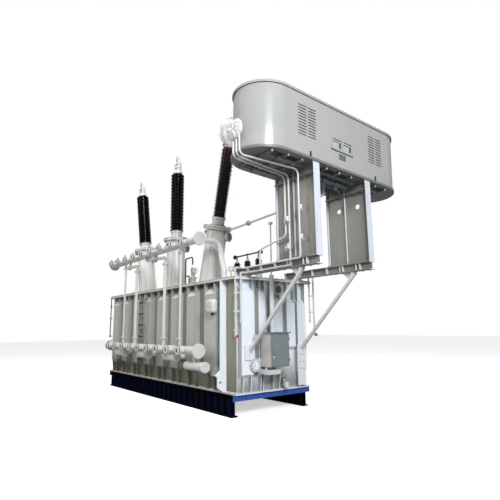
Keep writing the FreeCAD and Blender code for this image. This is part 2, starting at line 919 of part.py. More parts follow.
def build_vent_pipe():
    """Rising vent pipe from the right turret's flange to the conservator, with its gas relay."""
    lean = turret_leans[2]
    start = on_turret(turret_spacing, lean, vent_start_out, turret_length - 2 * turret_flange_plate)
    start.y += vent_start_side
    corner = V(conservator_x - vent_corner_left, vent_corner_y, conservator_bottom - vent_corner_drop)
    slope = (corner - start).normalize()
    middle = corner - slope * relay_before_corner
    relay_in = middle - slope * (relay_length / 2)
    relay_out = middle + slope * (relay_length / 2)
    union = start + slope * vent_union_from_start
    drop_top = start + slope * vent_drop_from_start
    drop_end = drop_top - Z_AXIS * vent_drop_length
    lower = fused([rod(start, relay_in, vent_pipe_radius),
                   rod(union, union + slope * vent_union_length, vent_union_radius),
                   rod(drop_top, drop_end, vent_drop_radius)])
    add("vent_pipe_lower", largest_solid(lower.cut(turret_on_cover(turret_spacing, lean))))
    top = V(corner.x, corner.y, conservator_bottom + conservator_width / 2)
    upper = pipe([relay_out, corner, top], vent_pipe_radius, 3 * vent_pipe_radius)
    add("vent_pipe_upper", below_conservator(upper))
    add("gas_relay", fused([rod(relay_in, relay_out, relay_radius * 0.7),
                            rod(relay_in, relay_in + slope * relay_flange_plate, relay_flange_radius),
                            rod(relay_out - slope * relay_flange_plate, relay_out, relay_flange_radius),
                            cylinder(middle, Z_AXIS, relay_radius * 1.4, relay_radius * 0.6)]))


# ================================================================ conservator
def stadium(inset, z0, z1):
    """Round-ended block, long across the machine, drawn about the conservator's middle."""
    radius = conservator_width / 2 - inset
    straight = conservator_length / 2 - conservator_width / 2
    block = box(-radius, radius, -straight, straight, z0, z1)
    ends = [cylinder(V(0, hand * straight, z0), Z_AXIS, z1 - z0, radius) for hand in (-1, 1)]
    return fused([block] + ends)


def on_conservator(shape):
    """Tilt a shape drawn about the conservator's underside and carry it into place."""
    copy = shape.copy()
    copy.rotate(V(0, 0, neck_height), X_AXIS, -conservator_slope)
    copy.translate(V(conservator_x, 0, conservator_bottom))
    return copy


def below_conservator(shape):
    """Trim a shape flush with the conservator's sloping underside."""
    size = 3 * conservator_length
    above = box(-size, size, -size, size, 0, size)
    return shape.cut(on_conservator(above))


def build_conservator():
    lip = conservator_lip
    height = conservator_height
    necks = [end_neck(hand) for hand in (-1, 1)]
    add("conservator_body", on_conservator(fused([stadium(0, lip, height - lip)] + necks)))
    rim = stadium(-lip, height - conservator_lip_height, height)
    add("conservator_top", on_conservator(rim.cut(stadium(0, 0, height - lip))))
    floor = stadium(-lip, 0, conservator_lip_height)
    floor = floor.cut(stadium(0, lip, height))
    add("conservator_floor", on_conservator(fused([floor] + underside_bars())))
    build_pipework()
    build_sight_frame()


def underside_bars():
    """Stiffening bars along the conservator's underside, between and beyond the brackets."""
    margin = saddle_width / 2 + 40
    reach = conservator_length / 2 - conservator_width / 2
    bars = []
    for x in (-underside_bar_offset, underside_bar_offset):
        for y0, y1 in ((-reach, -bracket_y - margin), (-bracket_y + margin, bracket_y - margin),
                       (bracket_y + margin, reach)):
            bars.append(box(x - underside_bar_width / 2, x + underside_bar_width / 2,
                            y0, y1, -underside_bar_depth, 0))
    return bars


def end_neck(hand):
    """Blank-flanged neck on a round end of the conservator."""
    out = V(0, hand, 0)
    spot = V(0, hand * conservator_length / 2, neck_height)
    stub = cylinder(spot - out * 40, out, 40 + neck_length, neck_radius)
    disc = cylinder(spot + out * neck_length, out, neck_flange_plate, neck_flange_radius)
    return fused([stub, disc])


def build_pipework():
    """Main oil pipe hung under the conservator on flanged stubs, and the thin level pipe."""
    x = main_pipe_from_middle
    z = -main_pipe_drop
    y0, y1 = main_pipe_ys
    parts = [cylinder(V(x, y0, z), Y_AXIS, y1 - y0, main_pipe_radius)]
    for y in (y0, y1 - main_pipe_flange_plate):
        parts.append(cylinder(V(x, y, z), Y_AXIS, main_pipe_flange_plate, main_pipe_flange_radius))
    for y in main_pipe_stubs:
        parts.append(cylinder(V(x, y, z), Z_AXIS, main_pipe_drop, main_pipe_radius * 0.8))
        parts.append(cylinder(V(x, y, -main_pipe_flange_plate), Z_AXIS, main_pipe_flange_plate,
                              main_pipe_flange_radius))
    level_x = x - 3 * main_pipe_radius
    level = pipe([V(level_x, level_pipe_y - level_pipe_run, 0),
                  V(level_x, level_pipe_y - level_pipe_run, -level_pipe_drop),
                  V(level_x, level_pipe_y, -level_pipe_drop)], level_pipe_radius, 4 * level_pipe_radius)
    add("conservator_pipework", on_conservator(fused(parts)), on_conservator(level))


def build_sight_frame():
    """Two-window sight frame and a blank plate on the conservator's outer face."""
    face = conservator_width / 2
    low = sight_above_base
    half = sight_width / 2
    outer = box(face, face + sight_depth, -half, half, low, low + sight_height)
    window = (sight_width - 3 * sight_bar) / 2
    for y in (-half + sight_bar, sight_bar / 2):
        outer = outer.cut(box(face - 1, face + sight_depth + 1, y, y + window,
                              low + sight_bar, low + sight_height - sight_bar))
    top = low - nameplate_gap
    plate = box(face, face + nameplate_depth, -nameplate_width / 2, nameplate_width / 2,
                top - nameplate_height, top)
    add("sight_frame", on_conservator(outer), on_conservator(plate))


# ================================================================ brackets
def i_beam(x0, x1, y, z0, z1, width, plate, web):
    parts = [box(x0, x1, y - width / 2, y + width / 2, z0, z0 + plate),
             box(x0, x1, y - width / 2, y + width / 2, z1 - plate, z1),
             box(x0, x1, y - web / 2, y + web / 2, z0, z1)]
    return parts


def cantilever_beam(side):
    """Level I-beam from the cover out to the leg, with web ribs and packing pads."""
    y = side * bracket_y
    inner_x = tank_length / 2 - beam_on_cover
    parts = i_beam(inner_x, leg_front_x, y, beam_bottom, beam_top, beam_width, beam_plate, beam_web)
    x = inner_x + beam_plate
    while x < leg_front_x:
        parts.append(box(x - beam_web / 2, x + beam_web / 2, y - beam_width / 2, y + beam_width / 2,
                         beam_bottom + beam_plate / 2, beam_top - beam_plate / 2))
        x += beam_rib_pitch
    pad_ends = (inner_x, tank_length / 2 - cover_inset - beam_pad_length)
    for x in pad_ends:
        parts.append(box(x, x + beam_pad_length, y - beam_width / 2, y + beam_width / 2,
                         cover_top, beam_bottom))
    return fused(parts)


def bracket_leg(side):
    """Plated leg between beam and conservator, with a saddle beam on top."""
    y = side * bracket_y
    top = conservator_bottom + conservator_width
    web = box(leg_back_x, leg_front_x, y - leg_web / 2, y + leg_web / 2, beam_top, top)
    parts = [web]
    for x, width in ((leg_back_x, leg_back_width), (conservator_x, leg_mid_width),
                     (leg_front_x - leg_plate, leg_width)):
        parts.append(box(x, x + leg_plate, y - width / 2, y + width / 2, beam_top, top))
    parts.append(box(leg_back_x, leg_front_x, y - leg_width / 2, y + leg_width / 2,
                     beam_top, beam_top + leg_plate))
    saddle = i_beam(leg_back_x, leg_front_x, y, -saddle_depth, 0, saddle_width, leg_plate, leg_web)
    leg = fused(parts)
    slide = V(0, 0, conservator_bottom - y * math.tan(math.radians(conservator_slope)) - 4)
    for piece in saddle:
        piece.translate(slide)
        leg = leg.fuse(piece)
    for offset in web_hole_offsets:
        leg = leg.cut(cylinder(V(leg_back_x + offset, y - leg_web, conservator_bottom - web_hole_drop),
                               Y_AXIS, 2 * leg_web, web_hole_radius))
    return below_conservator(leg.removeSplitter())


def brace(side):
    """Diagonal channel from the anchor plate on the tank end up to the beam's underside."""
    y = side * bracket_y
    foot = V(anchor_face(), y, deck + brace_foot_height)
    head = V(leg_front_x - brace_top_inset, y, beam_bottom)
    run = head - foot
    bar = box(0, run.Length, -brace_width / 2, brace_width / 2, -brace_depth, 0)
    recess = box(-1, run.Length + 1, -brace_width / 2 + brace_plate, brace_width / 2 - brace_plate,
                 -brace_depth, -brace_plate)
    bar = bar.cut(recess)
    bar.rotate(V(0, 0, 0), Y_AXIS, -math.degrees(math.atan2(run.z, run.x)))
    bar.translate(foot)
    size = 2 * run.Length
    wall = box(foot.x - size, foot.x, y - size, y + size, foot.z - size, foot.z + size)
    lid = box(head.x - size, head.x + size, y - size, y + size, beam_bottom, beam_bottom + size)
    bar = bar.cut(wall).cut(lid)
    lug_y = y - brace_plate / 2
    foot_lug = prism([V(foot.x, lug_y, foot.z - brace_lug_drop),
                      V(foot.x + brace_lug_length, lug_y, foot.z + 20), V(foot.x, lug_y, foot.z)],
                     V(0, brace_plate, 0))
    head_lug = prism([V(head.x - 2 * brace_lug_length, lug_y, beam_bottom),
                      V(head.x - brace_lug_length / 2, lug_y, beam_bottom),
                      V(head.x - brace_lug_length, lug_y, beam_bottom - brace_lug_length)],
                     V(0, brace_plate, 0))
    return fused([bar, foot_lug, head_lug])


def anchor_face():
    """Outer face of the anchor plates on the tank's right end."""
    return wall_x + rib_depth + anchor_plate


def anchor(side):
    """Anchor plate on the end ribs for the brace's foot: short on one side, long and drilled on the other."""
    y = side * bracket_y
    index = 0 if side < 0 else 1
    high = deck + anchor_tops[index]
    plate = box(wall_x + rib_depth, anchor_face(), y - anchor_width / 2, y + anchor_width / 2,
                high - anchor_heights[index], high)
    if side < 0:
        return plate
    for row in range(anchor_hole_rows):
        z = high - (row + 0.5) * anchor_hole_pitch
        for hand in (-1, 1):
            plate = plate.cut(cylinder(V(wall_x + rib_depth - 1, y + hand * anchor_hole_gap / 2, z), X_AXIS,
                                       anchor_plate + 2, anchor_hole_radius))
    return plate


def build_brackets():
    for name, side in (("near", -1), ("far", 1)):
        add("cantilever_beam_" + name, cantilever_beam(side))
        add("bracket_leg_" + name, bracket_leg(side))
        add("brace_" + name, fused([brace(side), anchor(side)]))


# ================================================================ control cabinet
cabinet_back = wall_x + rib_depth + rail_spacer + rail_plate
cabinet_face = cabinet_back + cabinet_depth
cabinet_low = deck + cabinet_base
cabinet_high = cabinet_low + cabinet_height
cabinet_left = cabinet_y - cabinet_width / 2
cabinet_right = cabinet_y + cabinet_width / 2
hinge_x = cabinet_face + door_gap + door_thickness / 2
hinge_y = cabinet_right + hinge_radius + 2


def build_cabinet():
    outer = box(cabinet_back, cabinet_face, cabinet_left, cabinet_right, cabinet_low, cabinet_high)
    wall = cabinet_wall
    hollow = box(cabinet_back + wall, cabinet_face + 1, cabinet_left + wall, cabinet_right - wall,
                 cabinet_low + wall, cabinet_high - wall)
    parts = [outer.cut(hollow)]
    for z in hinge_heights():
        low = z - hinge_length / 2
        strap = box(cabinet_face - 30, hinge_x + 4, cabinet_right, cabinet_right + 4, low, low + hinge_tab)
        ear = box(hinge_x - 4, hinge_x + 4, cabinet_right, hinge_y, low, low + hinge_tab)
        pin = cylinder(V(hinge_x, hinge_y, low), Z_AXIS, hinge_length, hinge_radius * 0.5)
        parts += [strap, ear, pin]
    add("cabinet_shell", fused(parts))
    add("cabinet_cap", box(cabinet_back - cap_overhang, cabinet_face + cap_overhang + door_thickness,
                            cabinet_left - cap_overhang, cabinet_right + cap_overhang + 10,
                            cabinet_high, cabinet_high + cap_thickness))
    build_cabinet_door()
    build_cabinet_mounting()


def hinge_heights():
    return [cabinet_low + cabinet_height * share for share in (0.18, 0.82)]


def build_cabinet_door():
    """Door leaf with hinge knuckles on the far side and a bar handle on the near side."""
    x0 = cabinet_face + door_gap
    leaf = box(x0, x0 + door_thickness, cabinet_left + door_margin / 2,
               cabinet_right - door_hinge_side_margin,
               cabinet_low + door_margin, cabinet_high - door_margin)
    parts = [leaf]
    for z in hinge_heights():
        low = z - hinge_length / 2 + hinge_tab + 1
        run = hinge_length - hinge_tab
        knuckle = cylinder(V(hinge_x, hinge_y, low), Z_AXIS, run + 5, hinge_radius)
        strap = box(hinge_x - 3, hinge_x + 3, cabinet_right - 40, hinge_y, low, low + run)
        bore = cylinder(V(hinge_x, hinge_y, low - 1), Z_AXIS, run + 1, hinge_radius * 0.5 + hinge_gap)
        parts.append(knuckle.fuse(strap).cut(bore))
    face = x0 + door_thickness
    y = cabinet_left + 48
    z = cabinet_low + cabinet_height * 0.45
    plate = box(face, face + handle_plate, y - 18, y + 18, z - 45, z + 45)
    boss = cylinder(V(face, y, z + 20), X_AXIS, 34, handle_radius)
    grip_top = V(face + 34 - handle_radius, y, z + 26)
    grip = rod(grip_top, grip_top - Z_AXIS * handle_length, handle_radius * 0.8)
    add("cabinet_door", fused(parts + [plate, boss, grip]))


def build_cabinet_mounting():
    """Rails behind the cabinet, the gland tray under it and the cable glands."""
    ribs_face = wall_x + rib_depth
    rails = []
    for left, height in zip(rail_lefts, rail_heights):
        low = deck + height - rail_height / 2
        high = low + rail_height
        bar = box(cabinet_back - rail_plate, cabinet_back, left, rail_right, low, high)
        spacers = [box(ribs_face, cabinet_back - rail_plate, y, y + rail_spacer_width, low, high)
                   for y in rail_spacer_ys]
        rails.append(fused([bar] + spacers))
    tray_high = cabinet_low - gland_length
    tray_low = tray_high - tray_height
    tray_front = cabinet_face - 60
    tray_right = cabinet_left + tray_width
    glands = []
    for index in range(gland_count):
        y = cabinet_left + tray_width * (index + 0.5) / gland_count
        glands.append(cylinder(V((cabinet_back + tray_front) / 2, y, tray_high), Z_AXIS,
                               gland_length, gland_radius))
    tray = box(cabinet_back, tray_front, cabinet_left, tray_right, tray_low, tray_high)
    inner = box(cabinet_back + tray_plate, tray_front - tray_plate, cabinet_left + tray_plate,
                tray_right - tray_plate, tray_low - 1, tray_high - tray_plate)
    arms = [box(ribs_face, cabinet_back, cabinet_left + offset, cabinet_left + offset + tray_arm_width,
                tray_low, tray_high) for offset in tray_arm_offsets]
    add("cable_glands", *glands)
    add("cabinet_mounting", *rails, fused([tray.cut(inner)] + arms))
    foot = V(cabinet_back + cabinet_depth / 2 + 10, post_y, cabinet_high + cap_thickness)
    knee = V(foot.x, foot.y, beam_bottom)
    add("cable_post", fused([rod(foot, knee, post_radius),
                              rod(knee, V(foot.x, foot.y, cover_top + post_above_cover), post_upper_radius),
                              cylinder(V(foot.x, foot.y, cover_top + post_above_cover - 40), Z_AXIS, 40,
                                       post_radius)]))


# ================================================================ conduits
def under_conservator(start_x, x, y):
    """Points from the near end neck down, along under the conservator and to a bracket's top."""
    slope = math.tan(math.radians(conservator_slope))
    neck_y = -conservator_length / 2 - neck_length - neck_flange_plate / 2
    level = lambda at: conservator_bottom - at * slope - conduit_hang
    return [V(conservator_x + start_x, neck_y, conservator_bottom + neck_height),
            V(conservator_x + start_x, neck_y, level(neck_y)), V(x, y, level(y))]


def build_conduits():
    """Cable conduits down both brackets, along their beams and down the tank's corners."""
    y = bracket_y + max(saddle_width, leg_width, beam_width) / 2 + conduit_radius
    top_z = conservator_bottom + conservator_width / 4
    turn = beam_top + conduit_turn_height
    xs = [leg_front_x - inset for inset in conduit_insets]
    turn_x = tank_length / 2 + conduit_drop_past_tank
    near = [pipe(under_conservator(conduit_start_xs[0], xs[0], -y) +
                 [V(xs[0], -y, turn), V(turn_x, -y, turn - conduit_fall), V(turn_x, -y, beam_top)],
                 conduit_radius, conduit_bend)]
    far = []
    drop_x = tank_length / 2 + corner_pipe_x_gap
    bends = [conduit_small_bend] * 3
    for index, (x, drop_y) in enumerate(zip(xs[1:], corner_pipe_ys)):
        line_y = y + index * conduit_y_gap
        level = beam_bottom + 35 + index * 90
        for side, runs in ((-1, near), (1, far)):
            tail = [V(x, side * line_y, level), V(drop_x, side * line_y, level),
                    V(drop_x, side * drop_y, level),
                    V(drop_x, side * drop_y, deck + corner_pipe_bottom + index * corner_pipe_step)]
            if side < 0:
                head = under_conservator(conduit_start_xs[index + 1], x, -line_y)
                runs.append(pipe(head + tail, conduit_radius, [conduit_bend, conduit_bend] + bends))
            else:
                runs.append(pipe([V(x, line_y, top_z)] + tail, conduit_radius, bends))
    neck = on_conservator(end_neck(-1))
    add("conduits_near", *[largest_solid(run.cut(neck)) for run in near])
    add("conduits_far", *[below_conservator(run) for run in far])


# ================================================================ end wall fittings
def blank_flange(y, height, radius, stub_radius, reach):
    """Double blank flange on a stub out of the right end wall, trimmed round the ribs."""
    spot = V(wall_x, y, deck + height)
    parts = [cylinder(spot, X_AXIS, reach, stub_radius)]
    for offset in (end_flange_plate, 2 * end_flange_plate + end_flange_joint):
        parts.append(cylinder(spot + X_AXIS * (reach - offset), X_AXIS, end_flange_plate, radius))
    return fused(parts).cut(Part.makeCompound(end_ribs(1)))


def build_end_fittings():
    manhole_height = tank_height - manhole_below_cover
    add("end_manhole", blank_flange(manhole_y, manhole_height, manhole_radius, manhole_stub_radius,
                                    manhole_reach))
    add("end_handhole", blank_flange(handhole_y, handhole_height, handhole_radius, handhole_stub_radius,
                                     handhole_reach))
    add("drain_valve", blank_flange(drain_y, drain_height, drain_radius, drain_stub_radius, drain_reach))


# ================================================================ build everything
build_stand()
build_tank()
build_ribs()
build_ladder()
build_headers()
build_high_voltage()
build_low_voltage()
build_cover_fittings()
build_conservator()
build_brackets()
build_cabinet()
build_conduits()
build_end_fittings()
write_all()
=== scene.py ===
"""Surface model of an oil-filled power transformer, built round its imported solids."""

import logging
import math
from dataclasses import dataclass, field
from enum import Enum
from itertools import product
from typing import Mapping, Optional, Sequence

import bmesh
import bpy
from bmesh.types import BMesh
from bpy.types import Material, Node, NodeSocket, NodeTree, Object
from mathutils import Matrix, Vector, noise

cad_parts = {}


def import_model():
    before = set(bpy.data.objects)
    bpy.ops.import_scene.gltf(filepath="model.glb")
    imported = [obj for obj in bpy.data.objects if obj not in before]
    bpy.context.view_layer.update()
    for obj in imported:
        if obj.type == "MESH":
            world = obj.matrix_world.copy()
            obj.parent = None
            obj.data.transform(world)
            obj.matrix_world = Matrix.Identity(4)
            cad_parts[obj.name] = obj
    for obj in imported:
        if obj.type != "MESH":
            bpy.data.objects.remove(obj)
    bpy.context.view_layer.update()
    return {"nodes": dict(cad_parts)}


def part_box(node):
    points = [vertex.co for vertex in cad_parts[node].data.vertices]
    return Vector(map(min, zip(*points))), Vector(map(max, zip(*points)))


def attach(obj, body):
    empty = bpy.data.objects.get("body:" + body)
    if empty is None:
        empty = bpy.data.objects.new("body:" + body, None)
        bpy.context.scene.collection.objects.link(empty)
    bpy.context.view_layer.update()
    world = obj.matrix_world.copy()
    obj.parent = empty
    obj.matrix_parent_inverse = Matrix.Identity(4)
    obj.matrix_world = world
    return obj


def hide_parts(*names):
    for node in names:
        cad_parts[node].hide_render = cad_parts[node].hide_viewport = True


log = logging.getLogger("transformer")

MACHINE = "transformer"
DOOR = "cabinet_door"

RIGHT, LEFT = Vector((1.0, 0.0, 0.0)), Vector((-1.0, 0.0, 0.0))
REAR, FRONT = Vector((0.0, 1.0, 0.0)), Vector((0.0, -1.0, 0.0))
UP, DOWN = Vector((0.0, 0.0, 1.0)), Vector((0.0, 0.0, -1.0))
FULL_TURN = 2 * math.pi
UPSIDE_DOWN = Matrix.Rotation(math.pi, 4, "X")
MERGE_DISTANCE = 0.00002
FILM_MERGE_DISTANCE = 0.0001

# Sockets of the colour Mix node and the third one of Multiply Add, which share their names with others.
MIX_FACTOR, MIX_FIRST, MIX_SECOND, MIX_RESULT = 0, 6, 7, 2
ADDEND = 2


# ---- nodes
def group_with(name: str, inputs: Sequence[tuple], outputs: Sequence[tuple]) -> NodeTree:
    """Make an empty shader node group with named sockets.

    Args:
        name: the group's name.
        inputs: (name, socket type, default) of each input.
        outputs: (name, socket type) of each output.

    Returns:
        The group, with its input and output nodes in place.
    """
    group = bpy.data.node_groups.new(name, "ShaderNodeTree")
    for label, kind, default in inputs:
        socket = group.interface.new_socket(name=label, in_out="INPUT", socket_type=kind)
        socket.default_value = default
    for label, kind in outputs:
        group.interface.new_socket(name=label, in_out="OUTPUT", socket_type=kind)
    group.nodes.new("NodeGroupInput").name = "in"
    group.nodes.new("NodeGroupOutput").name = "out"
    return group


def add_node(tree: NodeTree, kind: str, **values: object) -> Node:
    """Add a node and set its properties by name.

    Args:
        tree: the node tree to add to.
        kind: the node's type.
        **values: its properties.

    Returns:
        The node.
    """
    node = tree.nodes.new(kind)
    for label, value in values.items():
        setattr(node, label, value)
    return node


def set_inputs(node: Node, values: Mapping[str, object]) -> None:
    """Set a node's unlinked inputs by name."""
    for label, value in values.items():
        node.inputs[label].default_value = value


def math_node(tree: NodeTree, operation: str, first: object, second: object = None, clamp: bool = False) -> NodeSocket:
    """Add a Math node fed by sockets or numbers.

    Args:
        tree: the node tree to add to.
        operation: the Math node's operation.
        first: first socket or number.
        second: second socket or number, if the operation takes one.
        clamp: keep the result between 0 and 1.

    Returns:
        The node's output socket.
    """
    node = add_node(tree, "ShaderNodeMath", operation=operation, use_clamp=clamp)
    for slot, value in enumerate((first, second)):
        if value is None:
            continue
        if isinstance(value, NodeSocket):
            tree.links.new(value, node.inputs[slot])
        else:
            node.inputs[slot].default_value = value
    return node.outputs[0]


def ramp(tree: NodeTree, value: object, start: object, gain: float) -> NodeSocket:
    """Climb from 0 to 1 at a gain, once a value has passed its start."""
    return math_node(tree, "MULTIPLY", math_node(tree, "SUBTRACT", value, start), gain, clamp=True)


def scaled(tree: NodeTree, value: object, gain: float, base: float) -> NodeSocket:
    """Multiply a value by a gain and add a base.

    Args:
        tree: the node tree to add to.
        value: socket to scale.
        gain: what it is multiplied by.
        base: what is added.

    Returns:
        The scaled value's socket.
    """
    result = math_node(tree, "MULTIPLY_ADD", value, gain)
    result.node.inputs[ADDEND].default_value = base
    return result


def mix_colour(tree: NodeTree, amount: object, first: object, second: object) -> NodeSocket:
    """Add a colour Mix node fed by sockets, numbers or colours.

    Args:
        tree: the node tree to add to.
        amount: how much of the second colour there is.
        first: first colour.
        second: second colour.

    Returns:
        The mixed colour's socket.
    """
    node = add_node(tree, "ShaderNodeMix", data_type="RGBA")
    for slot, value in ((MIX_FACTOR, amount), (MIX_FIRST, first), (MIX_SECOND, second)):
        if isinstance(value, NodeSocket):
            tree.links.new(value, node.inputs[slot])
        elif slot == MIX_FACTOR:
            node.inputs[slot].default_value = value
        else:
            node.inputs[slot].default_value = (*value, 1.0)
    return node.outputs[MIX_RESULT]


def object_place(tree: NodeTree) -> NodeSocket:
    """Give the object's own coordinates."""
    return add_node(tree, "ShaderNodeTexCoord").outputs["Object"]


def split_axes(tree: NodeTree, vector: NodeSocket) -> Mapping[str, NodeSocket]:
    """Split a vector.

    Args:
        tree: the node tree to add to.
        vector: the vector's socket.

    Returns:
        The sockets X, Y and Z.
    """
    node = add_node(tree, "ShaderNodeSeparateXYZ")
    tree.links.new(vector, node.inputs[0])
    return node.outputs


def noise_value(tree: NodeTree, place: NodeSocket, scale: float, detail: float = 2.0,
                distortion: float = 0.0) -> NodeSocket:
    """Add a Noise texture.

    Args:
        tree: the node tree to add to.
        place: coordinates that it is read at.
        scale: its scale.
        detail: its octaves.
        distortion: its swirl.

    Returns:
        The noise's value, from 0 to 1.
    """
    node = add_node(tree, "ShaderNodeTexNoise")
    set_inputs(node, {"Scale": scale, "Detail": detail, "Distortion": distortion})
    tree.links.new(place, node.inputs["Vector"])
    return node.outputs["Fac"]


def add_bump(tree: NodeTree, height: NodeSocket, strength: float, distance: float) -> None:
    """Give a material's Principled shader a bumped normal.

    Args:
        tree: the material's nodes.
        height: height of the bumps.
        strength: how far they show.
        distance: how deep they are, in metres.
    """
    bump = add_node(tree, "ShaderNodeBump")
    set_inputs(bump, {"Strength": strength, "Distance": distance})
    tree.links.new(height, bump.inputs["Height"])
    tree.links.new(bump.outputs["Normal"], tree.nodes["Principled BSDF"].inputs["Normal"])


def new_material(name: str) -> tuple:
    """Make a material to add nodes to.

    Args:
        name: its name.

    Returns:
        The material, its node tree and its Principled shader.
    """
    material = bpy.data.materials.new(name)
    material.use_nodes = True
    return material, material.node_tree, material.node_tree.nodes["Principled BSDF"]


def sprayed_paint_group() -> NodeTree:
    """Group for sprayed paint: cloudy shade, rain streaks, dust and orange peel.

    Returns:
        The group, which gives a colour, a roughness and a height.
    """
    tree = group_with(
        "sprayed_paint",
        (("Colour", "NodeSocketColor", (0.6, 0.6, 0.6, 1.0)), ("Dust", "NodeSocketColor", (0.3, 0.27, 0.22, 1.0)),
         ("Cloud", "NodeSocketFloat", 0.1), ("Dust Amount", "NodeSocketFloat", 0.2),
         ("Roughness", "NodeSocketFloat", 0.4), ("Streaks", "NodeSocketFloat", 0.2)),
        (("Colour", "NodeSocketColor"), ("Roughness", "NodeSocketFloat"), ("Height", "NodeSocketFloat")))
    given, out = tree.nodes["in"].outputs, tree.nodes["out"].inputs
    place = object_place(tree)
    cloud = noise_value(tree, place, 1.6, 5.0)
    stretch = add_node(tree, "ShaderNodeMapping")
    stretch.inputs["Scale"].default_value = (9.0, 9.0, 0.55)
    tree.links.new(place, stretch.inputs["Vector"])
    streak = noise_value(tree, stretch.outputs["Vector"], 1.0, 6.0)
    peel, waves = noise_value(tree, place, 420.0), noise_value(tree, place, 5.0)
    centred = math_node(tree, "SUBTRACT", cloud, 0.5)
    shade = math_node(tree, "MULTIPLY", centred, given["Cloud"])
    shade = math_node(tree, "ADD", math_node(tree, "MULTIPLY", shade, 2.0), 1.0)
    bright = add_node(tree, "ShaderNodeVectorMath", operation="SCALE")
    tree.links.new(given["Colour"], bright.inputs[0])
    tree.links.new(shade, bright.inputs["Scale"])
    run = math_node(tree, "MULTIPLY", ramp(tree, streak, 0.55, 5.0), given["Streaks"])
    spots = math_node(tree, "MULTIPLY", ramp(tree, cloud, 0.52, 4.0), given["Dust Amount"])
    soiled = math_node(tree, "ADD", run, spots, clamp=True)
    rough = math_node(tree, "ADD", given["Roughness"], math_node(tree, "MULTIPLY", soiled, 0.3))
    rough = math_node(tree, "ADD", rough, math_node(tree, "MULTIPLY", centred, 0.12), clamp=True)
    height = math_node(tree, "ADD", math_node(tree, "MULTIPLY", peel, 0.08), waves)
    tree.links.new(mix_colour(tree, soiled, bright.outputs[0], given["Dust"]), out["Colour"])
    tree.links.new(rough, out["Roughness"])
    tree.links.new(height, out["Height"])
    return tree


# ---- finishes
# Painted light: the tank paint as it looks under the key light at the right end, used on the end wall and on faces
# turned to that end.
PAINTED_END_LIGHT = (0.80, 0.84, 0.90)


@dataclass(frozen=True)
class PaintFinish:
    """Sprayed paint on steel, with painted light and shade that differ with the way a face looks and with its place.
    """

    name: str
    colour: tuple
    roughness: float = 0.38
    cloud: float = 0.08
    dust: tuple = (0.32, 0.29, 0.24)
    dust_amount: float = 0.12
    streaks: float = 0.10
    bump: float = 0.05
    coat: float = 0.15
    gloss: float = 0.5
    end_tint_and_painted_light: Optional[tuple] = None
    under_shade: float = 1.0
    foot: float = 0.0
    flank_painted_shade: Optional[tuple] = None
    painted_end_light_from: Optional[float] = None
    top_painted_light: Optional[tuple] = None
    flange_shade_from: Optional[float] = None
    flange_shade_to: float = 1.62
    flange_shade_factor: float = 0.12
    foot_dark_colour: tuple = (0.090, 0.087, 0.060)

    def build(self, group: NodeTree) -> Material:
        """Make the material.

        Args:
            group: the shared sprayed-paint node group.

        Returns:
            The finished material.
        """
        material, tree, shader = new_material(self.name)
        paint = add_node(tree, "ShaderNodeGroup", node_tree=group)
        set_inputs(paint, {"Dust": (*self.dust, 1.0), "Cloud": self.cloud, "Dust Amount": self.dust_amount,
                           "Roughness": self.roughness, "Streaks": self.streaks})
        looks = split_axes(tree, add_node(tree, "ShaderNodeNewGeometry").outputs["True Normal"])
        # Painted shade: faces that look down take a darker copy of the colour.
        shaded = tuple(value * self.under_shade for value in self.colour)
        colour = mix_colour(tree, math_node(tree, "LESS_THAN", looks["Z"], -0.8), self.colour, shaded)
        # Painted shade on the wall just under the flange.
        if self.flange_shade_from is not None:
            colour = self.paint_flange_shade(tree, colour)
        # Faces turned to the right end take their own colour: painted light on most finishes, painted shade on the
        # ribs, and the real front colour on the cabinet's shell.
        if self.end_tint_and_painted_light is not None:
            colour = mix_colour(tree, ramp(tree, looks["X"], 0.35, 3.0), colour, self.end_tint_and_painted_light)
        # Painted shade on faces that look to the long sides.
        if self.flank_painted_shade is not None:
            flank = math_node(tree, "MULTIPLY", math_node(tree, "ABSOLUTE", looks["Y"]), 1.6, clamp=True)
            colour = mix_colour(tree, flank, colour, self.flank_painted_shade)
        # Painted light on faces that look up.
        if self.top_painted_light is not None:
            colour = mix_colour(tree, ramp(tree, looks["Z"], 0.15, 4.0), colour, self.top_painted_light)
        # Darker towards the tank's foot.
        if self.foot > 0.0:
            colour = self.darken_towards_foot(tree, colour)
        # Painted light: past a point along the tank, the colour turns to the painted end light.
        if self.painted_end_light_from is not None:
            along = split_axes(tree, object_place(tree))["X"]
            colour = mix_colour(tree, ramp(tree, along, self.painted_end_light_from, 20.0), colour, PAINTED_END_LIGHT)
        tree.links.new(colour, paint.inputs["Colour"])
        tree.links.new(paint.outputs["Colour"], shader.inputs["Base Color"])
        tree.links.new(paint.outputs["Roughness"], shader.inputs["Roughness"])
        add_bump(tree, paint.outputs["Height"], self.bump, 0.01)
        set_inputs(shader, {"Coat Weight": self.coat, "Coat Roughness": 0.25, "Specular IOR Level": self.gloss})
        return material

    def paint_flange_shade(self, tree: NodeTree, colour: NodeSocket) -> NodeSocket:
        """Darken the wall between the ribs just under the flange: painted shade.

        Args:
            tree: the material's nodes.
            colour: the colour so far.

        Returns:
            The darkened colour.
        """
        spot = split_axes(tree, object_place(tree))
        short = math_node(tree, "LESS_THAN", spot["X"], self.flange_shade_to)
        amount = math_node(tree, "MULTIPLY", ramp(tree, spot["Z"], self.flange_shade_from, 16.0), short)
        return mix_colour(tree, amount, colour, tuple(value * self.flange_shade_factor for value in self.colour))

    def darken_towards_foot(self, tree: NodeTree, colour: NodeSocket) -> NodeSocket:
        """Darken a colour towards the tank's foot, with a cloudy edge.

        Args:
            tree: the material's nodes.
            colour: the colour so far.

        Returns:
            The soiled colour.
        """
        place = object_place(tree)
        edge = scaled(tree, noise_value(tree, place, 2.3, 6.0), 0.9, 0.85)
        below = ramp(tree, edge, split_axes(tree, place)["Z"], 1.3)
        return mix_colour(tree, math_node(tree, "MULTIPLY", below, self.foot), colour, self.foot_dark_colour)


